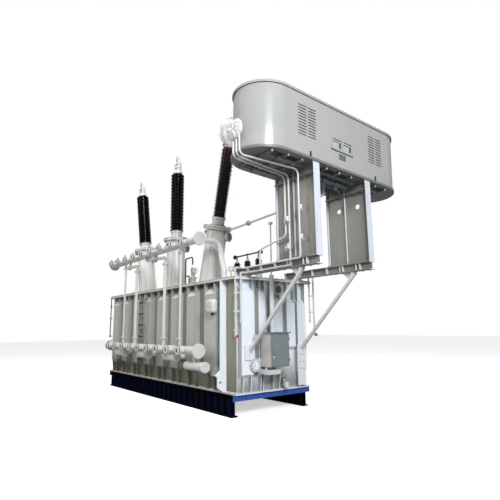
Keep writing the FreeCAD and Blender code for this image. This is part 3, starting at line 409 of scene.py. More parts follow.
@dataclass(frozen=True)
class GlazeFinish:
    """Glossy glazed porcelain with a cloudy shade, which can turn to another colour higher up."""

    name: str
    colour: tuple
    second: tuple
    roughness: float = 0.16
    upper: Optional[tuple] = None
    upper_from: float = 5.4

    def build(self, group: NodeTree) -> Material:
        """Make the material.

        Args:
            group: the paint group, which a glaze doesn't use.

        Returns:
            The finished material.
        """
        material, tree, shader = new_material(self.name)
        place = object_place(tree)
        cloud = noise_value(tree, place, 7.0, 4.0)
        colour = mix_colour(tree, cloud, self.colour, self.second)
        if self.upper is not None:
            rise = math_node(tree, "SUBTRACT", split_axes(tree, place)["Z"], self.upper_from, clamp=True)
            colour = mix_colour(tree, rise, colour, self.upper)
        tree.links.new(colour, shader.inputs["Base Color"])
        tree.links.new(scaled(tree, cloud, 0.18, self.roughness), shader.inputs["Roughness"])
        set_inputs(shader, {"Coat Weight": 0.15, "Coat Roughness": 0.08, "Specular IOR Level": 0.28})
        return material


@dataclass(frozen=True)
class MetalFinish:
    """Bare or plated metal with a fine grain."""

    name: str
    colour: tuple
    roughness: float = 0.32
    metallic: float = 1.0
    grain_shade: float = 0.72

    def build(self, group: NodeTree) -> Material:
        """Make the material.

        Args:
            group: the paint group, which a metal doesn't use.

        Returns:
            The finished material.
        """
        material, tree, shader = new_material(self.name)
        grain = noise_value(tree, object_place(tree), 60.0, 6.0)
        darker = tuple(value * self.grain_shade for value in self.colour)
        tree.links.new(mix_colour(tree, grain, self.colour, darker), shader.inputs["Base Color"])
        tree.links.new(scaled(tree, grain, 0.25, self.roughness), shader.inputs["Roughness"])
        set_inputs(shader, {"Metallic": self.metallic})
        return material


@dataclass(frozen=True)
class FilmFinish:
    """Crumpled white wrapping film."""

    name: str
    colour: tuple
    fold_shade: float = 0.42

    def build(self, group: NodeTree) -> Material:
        """Make the material.

        Args:
            group: the paint group, which the film doesn't use.

        Returns:
            The finished material.
        """
        material, tree, shader = new_material(self.name)
        folds = noise_value(tree, object_place(tree), 14.0, 8.0, 1.6)
        shade = tuple(value * self.fold_shade for value in self.colour)
        tree.links.new(mix_colour(tree, folds, shade, self.colour), shader.inputs["Base Color"])
        tree.links.new(scaled(tree, folds, 0.3, 0.2), shader.inputs["Roughness"])
        add_bump(tree, folds, 0.8, 0.02)
        set_inputs(shader, {"Sheen Weight": 0.2})
        return material


FINISHES = {
    # The long wall is a darker copy of the ribs' paint: painted shade between the ribs.
    "long_side": PaintFinish("long_side_paint_with_painted_shade", (0.225, 0.222, 0.17), end_tint_and_painted_light=PAINTED_END_LIGHT, streaks=0.25, foot=0.72,
                             flange_shade_from=2.54),
    "rib_side": PaintFinish("rib_paint", (0.455, 0.455, 0.405), end_tint_and_painted_light=(0.355, 0.365, 0.355), streaks=0.22,
                            foot=0.78, painted_end_light_from=1.80, top_painted_light=(0.82, 0.83, 0.80)),
    # End wall in the painted end light, with painted shade on the sides of its ribs.
    "end_side": PaintFinish("end_wall_painted_light", PAINTED_END_LIGHT, dust_amount=0.06, streaks=0.2,
                            flank_painted_shade=(0.30, 0.33, 0.32)),
    "cover": PaintFinish("cover_paint", (0.50, 0.49, 0.45), dust_amount=0.3, end_tint_and_painted_light=(0.70, 0.73, 0.78)),
    "flange": PaintFinish("flange_paint", (0.60, 0.595, 0.56), dust_amount=0.18, end_tint_and_painted_light=PAINTED_END_LIGHT,
                          under_shade=0.45),
    "pipe": PaintFinish("pipe_paint", (0.62, 0.62, 0.605), roughness=0.3, dust_amount=0.06),
    "turret": PaintFinish("turret_paint", (0.58, 0.58, 0.56), roughness=0.32, dust_amount=0.08),
    "conservator": PaintFinish("conservator_paint", (0.375, 0.375, 0.365), roughness=0.17, dust_amount=0.05,
                               coat=0.35, under_shade=0.28),
    # Painted shade: a dark copy of the conservator paint on its underside floor.
    "underside": PaintFinish("underside_painted_shade", (0.15, 0.16, 0.155), roughness=0.5, dust_amount=0.1),
    "bracket": PaintFinish("bracket_paint", (0.185, 0.182, 0.163), end_tint_and_painted_light=(0.62, 0.65, 0.72), streaks=0.3,
                           dust_amount=0.2),
    "brace": PaintFinish("brace_paint", (0.62, 0.61, 0.59), end_tint_and_painted_light=(0.72, 0.74, 0.78)),
    "cabinet": PaintFinish("cabinet_door_paint", (0.175, 0.205, 0.21), roughness=0.42, dust_amount=0.08),
    "cabinet_side": PaintFinish("cabinet_side_paint", (0.46, 0.43, 0.42), roughness=0.42, dust_amount=0.08,
                                end_tint_and_painted_light=(0.20, 0.25, 0.25)),
    "cabinet_cap": PaintFinish("cabinet_cap_paint", (0.15, 0.175, 0.18), roughness=0.42, dust_amount=0.08),
    "stand": PaintFinish("stand_paint", (0.007, 0.013, 0.060), roughness=0.32, dust=(0.03, 0.035, 0.06), coat=0.3,
                         end_tint_and_painted_light=(0.020, 0.075, 0.37), under_shade=0.5),
    # Near-black: painted shade on the blue stand's girders under the tank.
    "girder": PaintFinish("girder_painted_shade", (0.0008, 0.001, 0.003), roughness=0.6, dust=(0.003, 0.004, 0.008), coat=0.0,
                          gloss=0.05, end_tint_and_painted_light=(0.002, 0.0045, 0.022), under_shade=0.5),
    "primer": PaintFinish("primer_paint", (0.085, 0.014, 0.013), roughness=0.5),
    "signal_red": PaintFinish("valve_red_paint", (0.27, 0.025, 0.03), roughness=0.4),
    "signal_green": PaintFinish("wheel_green_paint", (0.03, 0.15, 0.08), roughness=0.4),
    "ladder": PaintFinish("ladder_paint", (0.22, 0.20, 0.165), roughness=0.5),
    # Dark rings in the valve grooves: painted shade.
    "seal_brown": PaintFinish("valve_groove_shade_paint", (0.10, 0.062, 0.05), roughness=0.55),
    "valve_grey": PaintFinish("valve_grey_paint", (0.33, 0.34, 0.34), roughness=0.35, dust_amount=0.2),
    "shade_grey": PaintFinish("shade_grey_paint", (0.13, 0.13, 0.13), roughness=0.45),
    "relay": PaintFinish("relay_paint", (0.075, 0.10, 0.115), roughness=0.4, dust=(0.2, 0.2, 0.2)),
    "black": PaintFinish("black_paint", (0.012, 0.012, 0.013), roughness=0.4, dust=(0.04, 0.04, 0.04)),
    "pane": PaintFinish("pane_glass", (0.42, 0.43, 0.43), roughness=0.08, dust=(0.2, 0.2, 0.2), coat=1.0),
    "bolt_painted": PaintFinish("bolt_paint", (0.34, 0.33, 0.30), roughness=0.4, dust_amount=0.3),
    "glaze_black": GlazeFinish("black_glaze", (0.004, 0.0035, 0.0035), (0.008, 0.007, 0.006)),
    "glaze_brown": GlazeFinish("brown_glaze", (0.004, 0.002, 0.002), (0.012, 0.004, 0.003),
                               upper=(0.065, 0.018, 0.012)),
    # Pale shed rims: painted highlight.
    "shed_edge": GlazeFinish("shed_edge_painted_highlight", (0.055, 0.045, 0.042), (0.09, 0.075, 0.07)),
    "bright_metal": MetalFinish("bright_metal", (0.86, 0.86, 0.87), metallic=0.35),
    "worn_metal": MetalFinish("worn_metal", (0.62, 0.62, 0.62), metallic=0.3),
    "bolt_metal": MetalFinish("bolt_metal", (0.40, 0.40, 0.41), roughness=0.4, metallic=0.7),
    "film": FilmFinish("wrapping_film", (0.86, 0.87, 0.89)),
}

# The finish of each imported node, by the longest start of its name that is given here.
NODE_FINISH = {
    "stand_": "stand", "stand_girder": "girder",
    "tank_bottom": "cover", "tank_body": "long_side", "tank_flange": "flange", "tank_cover": "cover",
    "ribs_front": "rib_side", "ribs_rear": "rib_side", "ribs_right_end": "end_side", "ribs_left_end": "rib_side",
    "ladder": "ladder", "turret_": "turret", "insulator_right": "glaze_brown", "insulator_": "glaze_black",
    "terminal_wrap": "film", "terminal_": "bright_metal", "small_bushings": "glaze_black",
    "small_bushing_ped": "turret", "neutral_bar": "black", "sampling_frame": "primer",
    "cover_valve": "valve_grey", "relief_drum": "turret", "conservator": "conservator",
    "conservator_floor": "underside", "conservator_pipework": "relay", "gas_relay": "relay",
    "sight_frame": "conservator",
    "bracket_leg": "bracket", "cantilever": "bracket", "brace": "brace", "cabinet_door": "cabinet",
    "cabinet_shell": "cabinet_side", "cabinet_cap": "cabinet_cap", "cabinet_mounting": "turret",
    "cable_glands": "black", "cable_post": "brace", "end_handhole": "turret", "end_manhole": "turret",
    "drain_valve": "turret", "conduits_": "turret",
}


class Palette:
    """Every material, built once."""

    def __init__(self) -> None:
        """Build the shared node group and the materials that use it."""
        group = sprayed_paint_group()
        self.materials = {name: finish.build(group) for name, finish in FINISHES.items()}

    def __getitem__(self, name: str) -> Material:
        """Give a material by its finish name."""
        return self.materials[name]

    def dress(self, node: str, thing: Object) -> None:
        """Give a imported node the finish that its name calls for.

        Args:
            node: the node's name.
            thing: its object.
        """
        keys = [key for key in NODE_FINISH if node.startswith(key)]
        finish = NODE_FINISH[max(keys, key=len)] if keys else "pipe"
        thing.data.materials.clear()
        thing.data.materials.append(self[finish])


# ---- mesh helpers
def bar(bm: BMesh, start: Vector, end: Vector, radius: float, end_radius: Optional[float] = None,
        segments: int = 24) -> None:
    """Add a capped round bar or cone between two points.

    Args:
        bm: the mesh to add to.
        start: middle of the first end.
        end: middle of the other end.
        radius: radius at the start.
        end_radius: radius at the end, if it differs.
        segments: sides round the bar.
    """
    run = end - start
    place = Matrix.Translation((start + end) / 2) @ run.to_track_quat("Z", "Y").to_matrix().to_4x4()
    bmesh.ops.create_cone(bm, cap_ends=True, segments=segments, radius1=radius,
                          radius2=radius if end_radius is None else end_radius, depth=run.length, matrix=place)


def spin_round(bm: BMesh, geom: list, place: Matrix, segments: int) -> None:
    """Spin vertices and edges once round the Z axis of a place."""
    bmesh.ops.spin(bm, geom=geom, cent=place.translation, axis=place.to_quaternion() @ UP, dvec=(0.0, 0.0, 0.0),
                   angle=FULL_TURN, steps=segments, use_merge=True, use_duplicate=False)


def turn(bm: BMesh, place: Matrix, profile: Sequence[tuple], segments: int = 40) -> None:
    """Turn an outline about the Z axis of a place.

    Args:
        bm: the mesh to add to.
        place: the frame whose Z axis is the axis of turning.
        profile: (radius, height) points of the outline.
        segments: steps round the axis.
    """
    verts = [bm.verts.new(place @ Vector((radius, 0.0, height))) for radius, height in profile]
    edges = [bm.edges.new(pair) for pair in zip(verts, verts[1:])]
    spin_round(bm, verts + edges, place, segments)


def hoop(bm: BMesh, place: Matrix, radius: float, thickness: float, segments: int = 32, sides: int = 8) -> None:
    """Add a round hoop about the Z axis of a place.

    Args:
        bm: the mesh to add to.
        place: the hoop's middle and axis.
        radius: radius of its centre line.
        thickness: radius of its section.
        segments: steps round the hoop.
        sides: sides of its section.
    """
    section = place @ Matrix.Translation((radius, 0.0, 0.0)) @ Matrix.Rotation(math.pi / 2, 4, "X")
    made = bmesh.ops.create_circle(bm, cap_ends=False, segments=sides, radius=thickness, matrix=section)
    edges = list({edge for vert in made["verts"] for edge in vert.link_edges})
    spin_round(bm, made["verts"] + edges, place, segments)


def block(bm: BMesh, low: Sequence[float], high: Sequence[float], edge: float = 0.003,
          segments: int = 2, place: Optional[Matrix] = None) -> None:
    """Add a block with rounded edges.

    Args:
        bm: the mesh to add to.
        low: lowest corner, before the place is applied.
        high: highest corner, before the place is applied.
        edge: radius of its edges.
        segments: steps across an edge.
        place: where it goes; the object's own frame if left out.
    """
    low, high = Vector(low), Vector(high)
    fit = (place or Matrix.Identity(4)) @ Matrix.Translation((low + high) / 2)
    made = bmesh.ops.create_cube(bm, size=1.0, matrix=fit @ Matrix.Diagonal((*(high - low), 1.0)))
    edges = list({side for vert in made["verts"] for side in vert.link_edges})
    bmesh.ops.bevel(bm, geom=edges, offset=edge, offset_type="OFFSET", affect="EDGES", segments=segments,
                    profile=0.5, material=-1, clamp_overlap=True)


def bolt(bm: BMesh, seat: Vector, axis: Vector, size: float) -> None:
    """Add a hexagon head on a washer.

    Args:
        bm: the mesh to add to.
        seat: middle of the face it stands on.
        axis: the way it points, of length 1.
        size: radius across the head's corners.
    """
    bar(bm, seat, seat + axis * size * 0.2, size * 1.25, segments=10)
    bar(bm, seat + axis * size * 0.15, seat + axis * size * 0.95, size, size * 0.94, segments=6)


def bolt_ring(bm: BMesh, place: Matrix, radius: float, count: int, size: float, phase: float = 0.0) -> None:
    """Add bolts round the Z axis of a place, pointing along it.

    Args:
        bm: the mesh to add to.
        place: the ring's middle and axis.
        radius: radius of the bolts' circle.
        count: how many bolts.
        size: radius across a head's corners.
        phase: turn of the first bolt, in degrees.
    """
    axis = place.to_quaternion() @ UP
    for index in range(count):
        angle = FULL_TURN * index / count + math.radians(phase)
        bolt(bm, place @ Vector((radius * math.cos(angle), radius * math.sin(angle), 0.0)), axis, size)


def facing(spot: Vector, axis: Vector) -> Matrix:
    """Give the frame at a spot whose Z axis points along an axis."""
    return Matrix.Translation(spot) @ axis.to_track_quat("Z", "Y").to_matrix().to_4x4()


def lift(place: Matrix, height: float) -> Matrix:
    """Give the frame at a height up the Z axis of a place."""
    return place @ Matrix.Translation((0.0, 0.0, height))


def film_bag(place: Matrix, outline: Sequence[tuple]) -> BMesh:
    """Make a smooth closed bag, fine enough to be crumpled.

    Args:
        place: the frame whose Z axis the bag is round.
        outline: (radius, height) points of the bag.

    Returns:
        The bag's mesh.
    """
    bm = bmesh.new()
    turn(bm, place, outline, 56)
    bmesh.ops.remove_doubles(bm, verts=bm.verts, dist=FILM_MERGE_DISTANCE)
    bmesh.ops.subdivide_edges(bm, edges=bm.edges, cuts=1, use_grid_fill=True)
    return bm


# ---- workshop
class Slot(Enum):
    """Names of the record's material slots, one given with each added piece."""

    TANK = "tank_paint"
    CONSERVATOR = "conservator_paint"
    PIPE = "pipe_paint"
    CABINET = "cabinet_paint"
    RED = "primer_red"
    BLACK_GLAZE = "glaze_black"
    BROWN_GLAZE = "glaze_brown"
    METAL = "terminal_metal"
    RELAY = "relay_paint"
    FILM = "wrap_film"
    BLACK = "gland_black"


class Workshop:
    """Shared frame, finishes and datums, and the one way that a piece is finished."""

    def __init__(self, palette: Palette) -> None:
        """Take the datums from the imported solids.

        Args:
            palette: the finishes.
        """
        self.palette = palette
        low, high = (Vector(corner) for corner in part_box("tank_flange"))
        self.middle = (low.x + high.x) / 2
        self.half_length = (high.x - low.x) / 2
        self.half_width = (high.y - low.y) / 2
        self.flange_top = high.z
        self.flange_under = low.z
        self.cover = Vector(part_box("turret_middle")[0]).z
        self.pieces = 0

    def at(self, x: float, y: float, z: float) -> Vector:
        """Give a point from its place off the tank's middle, with its height off the floor."""
        return Vector((x + self.middle, y, z))

    def make(self, name: str, bm: BMesh, finish: str, slot: Slot, body: str = MACHINE,
             replaces: Sequence[str] = (), crease: float = 32.0) -> Object:
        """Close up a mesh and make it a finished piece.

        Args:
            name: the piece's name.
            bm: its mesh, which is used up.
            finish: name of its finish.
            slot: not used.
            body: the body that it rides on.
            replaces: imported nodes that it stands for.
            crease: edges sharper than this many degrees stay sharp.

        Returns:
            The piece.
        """
        bmesh.ops.remove_doubles(bm, verts=bm.verts, dist=MERGE_DISTANCE)
        bmesh.ops.recalc_face_normals(bm, faces=bm.faces)
        for face in bm.faces:
            face.smooth = True
        for edge in bm.edges:
            edge.smooth = edge.calc_face_angle(0.0) < math.radians(crease)
        mesh = bpy.data.meshes.new(name)
        bm.to_mesh(mesh)
        bm.free()
        mesh.materials.append(self.palette[finish])
        piece = bpy.data.objects.new(name, mesh)
        bpy.context.scene.collection.objects.link(piece)
        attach(piece, body)
        for node in replaces:
            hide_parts(node)
        self.pieces += 1
        log.info("%s: %d faces", name, len(mesh.polygons))
        return piece

    def make_bolts(self, name: str, bm: BMesh) -> None:
        """Make a piece of plated bolts, nuts, studs or screws."""
        self.make(name, bm, "bolt_metal", Slot.METAL)


# ---- high voltage side
@dataclass
class Bushing:
    """One tall bushing on its turret."""

    shop: Workshop
    name: str
    x: float
    lean: float
    core: float
    shed: float
    finish: str
    slot: Slot
    row_y: float = -0.55
    turret: float = 1.375
    turret_radius: float = 0.242
    foot_radius: float = 0.268
    flange_radius: float = 0.34
    plate: float = 0.032
    mount: float = 0.2
    mount_radius: float = 0.148
    mount_flange: float = 0.192
    length: float = 1.655
    pitch: float = 0.046
    cover_angle: float = 22.0
    cover_height: float = 1.085
    cover_reach: float = 0.377
    cover_radius: float = 0.121
    small_shed: float = 0.9
    flange_bolts: int = 20
    seam_angles: tuple = (-58.0, 148.0)
    lug_angles: tuple = (-120.0, 60.0)
    lug_height: float = 1.16

    def place(self, height: float = 0.0) -> Matrix:
        """Give the leaning frame at a height up the turret's axis."""
        foot = Matrix.Translation(self.shop.at(self.x, self.row_y, self.shop.cover))
        return lift(foot @ Matrix.Rotation(math.radians(self.lean), 4, "Y"), height)

    def build(self) -> None:
        """Build every piece of this bushing."""
        self.build_sheds()
        self.build_collars()
        self.build_flange_bolts()
        self.build_seams()
        self.build_side_cover()
        if self.name == "right":
            self.build_shed_tips()
            self.build_wrap()
        else:
            self.build_terminal_fittings()

    def shed_rows(self) -> list:
        """Work out the sheds, which are large and small by turns.

        Returns:
            (height, radius) of each one, from the foot of the porcelain up.
        """
        count = int((self.length - self.pitch / 2) / self.pitch)
        return [(self.pitch / 2 + index * self.pitch, self.shed if index % 2 == 0 else self.shed * self.small_shed)
                for index in range(count)]

    def build_sheds(self) -> None:
        """Rounded porcelain sheds on their core."""
        bm = bmesh.new()
        outline = [(0.0, 0.0), (self.core, 0.0)]
        for low, reach in self.shed_rows():
            outline += [(self.core + 0.002, low - 0.004), (reach - 0.012, low - 0.001), (reach - 0.002, low - 0.001),
                        (reach, low + 0.006), (reach - 0.006, low + 0.012), (self.core + 0.012, low + 0.022),
                        (self.core, low + 0.030)]
        outline += [(self.core, self.length), (0.0, self.length)]
        turn(bm, self.place(self.turret + self.mount), outline, 48)
        self.shop.make("insulator_sheds_" + self.name, bm, self.finish, self.slot,
                       replaces=("insulator_" + self.name,), crease=50.0)

    def build_shed_tips(self) -> None:
        """Pale edges of the sheds: painted highlight."""
        bm = bmesh.new()
        for low, reach in self.shed_rows():
            hoop(bm, self.place(self.turret + self.mount + low + 0.004), reach - 0.001, 0.0025, 40, 5)
        self.shop.make("shed_tips_" + self.name, bm, "shed_edge", self.slot)

    def build_collars(self) -> None:
        """Cement collars at both ends of the porcelain and the ribbed mounting collar."""
        bm = bmesh.new()
        low = self.place(self.turret + self.mount)
        turn(bm, low, [(self.core + 0.001, 0.0), (self.core + 0.03, 0.0), (self.core + 0.034, 0.006),
                       (self.core + 0.034, 0.014), (self.core + 0.001, 0.018)], 40)
        for rise in (0.035, 0.075, 0.115):
            hoop(bm, self.place(self.turret + rise + 0.03), self.mount_radius, 0.005, 40, 8)
        turn(bm, self.place(self.turret + self.mount - 0.035),
             [(self.mount_radius - 0.002, 0.0), (self.mount_radius + 0.02, 0.002), (self.mount_radius + 0.024, 0.008),
              (self.mount_radius + 0.024, 0.028), (self.mount_radius + 0.018, 0.034),
              (self.mount_radius - 0.002, 0.0345)], 40)
        self.shop.make("mount_collars_" + self.name, bm, "turret", Slot.TANK)
        bm = bmesh.new()
        top = self.place(self.turret + self.mount + self.length)
        turn(bm, top, [(self.core - 0.004, -0.02), (self.core + 0.006, -0.018), (self.core + 0.008, -0.004),
                       (self.core + 0.008, 0.008), (self.core - 0.004, 0.012)], 40)
        hoop(bm, self.place(self.turret + 0.031), self.mount_radius + 0.01, 0.008, 40, 8)
        self.shop.make("seal_rings_" + self.name, bm, "black", Slot.BLACK)

    def build_flange_bolts(self) -> None:
        """Bolts on the turret's flanges, its mount and its foot, and the gasket between the plates."""
        bm = bmesh.new()
        turned = self.place(self.turret - 2.4 * self.plate) @ UPSIDE_DOWN
        for place in (self.place(self.turret), turned):
            bolt_ring(bm, place, self.flange_radius - 0.042, self.flange_bolts, 0.017)
        bolt_ring(bm, self.place(self.turret + 0.026), self.mount_flange - 0.022, 12, 0.015, 15.0)
        foot = facing(self.shop.at(self.x, self.row_y, self.shop.cover + 0.025), UP)
        bolt_ring(bm, foot, self.foot_radius + 0.016, 24, 0.010)
        self.shop.make_bolts("turret_bolts_" + self.name, bm)
        bm = bmesh.new()
        low = -1.4 * self.plate
        turn(bm, self.place(self.turret),
             [(self.turret_radius, low), (self.flange_radius - 0.008, low), (self.flange_radius - 0.008, -self.plate),
              (self.turret_radius, -self.plate)], 48)
        self.shop.make("turret_gasket_" + self.name, bm, "black", Slot.BLACK)

    def build_seams(self) -> None:
        """Weld beads up the turret and round under its flange, and two lifting lugs."""
        bm = bmesh.new()
        for angle in self.seam_angles:
            side = Vector((math.cos(math.radians(angle)), math.sin(math.radians(angle)), 0.0))
            lean = self.place()
            bar(bm, lean @ (side * self.foot_radius + UP * 0.08),
                lean @ (side * self.turret_radius + UP * (self.turret - 2.5 * self.plate)), 0.006,
                segments=8)
        hoop(bm, self.place(self.turret - 2.4 * self.plate), self.turret_radius + 0.001, 0.007, 48, 6)
        hoop(bm, facing(self.shop.at(self.x, self.row_y, self.shop.cover + 0.026), UP),
             self.foot_radius - 0.004, 0.008, 48, 6)
        for angle in self.lug_angles:
            lug = self.place(self.lug_height) @ Matrix.Rotation(math.radians(angle), 4, "Z")
            block(bm, (self.turret_radius - 0.01, -0.008, 0.0), (self.turret_radius + 0.055, 0.008, 0.09), 0.004, 2,
                  lug)
        self.shop.make("turret_seams_" + self.name, bm, "turret", Slot.TANK)

    def build_side_cover(self) -> None:
        """Stepped face, bolts and cable entries of the level side cover."""
        angle = math.radians(self.cover_angle)
        out = Vector((math.cos(angle), math.sin(angle), 0.0))
        start = self.place(self.cover_height).translation
        face = facing(start + out * self.cover_reach, out)
        bm = bmesh.new()
        turn(bm, face, [(self.cover_radius * 0.76, -0.001), (self.cover_radius * 0.74, 0.010),
                        (self.cover_radius * 0.5, 0.013), (self.cover_radius * 0.46, 0.022), (0.0, 0.024)], 36)
        for step in (0.05, 0.075, 0.1):
            hoop(bm, facing(start + out * (self.cover_reach - step), out), self.cover_radius * 0.775, 0.006, 36, 6)
        self.shop.make("side_cover_face_" + self.name, bm, "shade_grey", Slot.TANK)
        bm = bmesh.new()
        bolt_ring(bm, facing(start + out * (self.cover_reach - 0.022), out), self.cover_radius * 0.9, 12, 0.010)
        back = facing(start + out * (self.cover_reach - 0.044), -out)
        bolt_ring(bm, back, self.cover_radius * 0.9, 12, 0.010)
        self.shop.make_bolts("side_cover_bolts_" + self.name, bm)

    def build_terminal_fittings(self) -> None:
        """Wide clamped line terminal with its straps, palm, eye and bolts, in place of the plain cap."""
        top = self.place(self.turret + self.mount + self.length)
        body, bolts, dark = bmesh.new(), bmesh.new(), bmesh.new()
        turn(body, top, [(0.0, 0.0), (0.125, 0.0), (0.128, 0.004), (0.128, 0.066), (0.122, 0.074), (0.098, 0.078),
                         (0.096, 0.10), (0.0, 0.10)], 40)
        for low, high in ((-0.108, -0.045), (-0.032, 0.032), (0.045, 0.108)):
            block(body, (low, -0.050, 0.095), (high, 0.050, 0.325), 0.012, 3, top)
        block(body, (-0.112, -0.040, 0.12), (0.112, 0.040, 0.30), 0.006, 2, top)
        block(body, (-0.085, -0.024, 0.31), (0.085, 0.024, 0.44), 0.008, 3, top)
        block(body, (-0.060, -0.0142, 0.42), (0.060, 0.0142, 0.475), 0.006, 2, top)
        turn(dark, top @ Matrix.Translation((-0.04, 0.0, 0.475)) @ Matrix.Rotation(math.pi / 2, 4, "X"),
             [(0.052, -0.012), (0.052, 0.012), (0.024, 0.012), (0.024, -0.012), (0.052, -0.012)], 32)
        for rise in (0.16, 0.26):
            block(dark, (-0.114, -0.0535, rise - 0.012), (0.114, 0.0535, rise + 0.012), 0.004, 2, top)
        clamp = ((-0.077, 0.0, 0.077), (0.16, 0.26), 0.053, 0.016)
        palm = ((-0.03, 0.03), (0.36, 0.415), 0.024, 0.013)
        for columns, rows, face, size in (clamp, palm):
            for across, rise, side in product(columns, rows, (-1.0, 1.0)):
                axis = top.to_quaternion() @ Vector((0.0, side, 0.0))
                bolt(bolts, top @ Vector((across, side * face, rise)), axis, size)
        bolt_ring(bolts, lift(top, 0.074), 0.112, 10, 0.011)
        self.shop.make("line_terminal_" + self.name, body, "bright_metal", Slot.METAL,
                       replaces=("terminal_" + self.name,))
        self.shop.make("terminal_straps_" + self.name, dark, "worn_metal", Slot.METAL)
        self.shop.make_bolts("terminal_bolts_" + self.name, bolts)

    def build_wrap(self) -> None:
        """Crumpled film bag, gathered at its neck and twisted into a tail."""
        base = self.place(self.turret + self.mount + self.length)
        outline = [(0.0, 0.0), (0.125, -0.01), (0.148, 0.03), (0.150, 0.07), (0.205, 0.15), (0.255, 0.24),
                   (0.282, 0.33), (0.286, 0.42), (0.268, 0.50), (0.228, 0.57), (0.176, 0.62), (0.13, 0.665),
                   (0.098, 0.70), (0.072, 0.725), (0.0, 0.735)]
        bm = film_bag(base, outline)
        back = base.inverted()
        for vert in bm.verts:
            local = back @ vert.co
            rise = max(0.0, min(1.0, (local.z - 0.07) / 0.6))
            radial = Vector((local.x, local.y, 0.0))
            if radial.length < 0.004:
                continue
            angle = math.atan2(local.y, local.x)
            pleat = math.sin(angle * 9 + local.z * 4 + 2 * noise.noise(local * 5.0))
            crush = noise.turbulence(local * 7.0 + RIGHT * 3.1, 4, False, noise_basis="PERLIN_ORIGINAL")
            depth = (0.006 + 0.026 * rise) * pleat + 0.055 * (crush - 0.45) * (0.25 + rise)
            local += radial.normalized() * max(-0.06, min(0.03, depth - 0.012))
            local += Vector((-0.16, -0.03, -0.03)) * max(0.0, rise - 0.55) ** 1.4 * 2.2
            vert.co = base @ local
        self.shop.make("terminal_film_right", bm, "film", Slot.FILM, replaces=("terminal_wrap_right",), crease=75.0)
        bm = bmesh.new()
        for rise in (0.045, 0.056, 0.066):
            hoop(bm, self.place(self.turret + self.mount + self.length + rise), 0.152, 0.005, 40, 6)
        self.shop.make("film_ties_right", bm, "bracket", Slot.FILM)


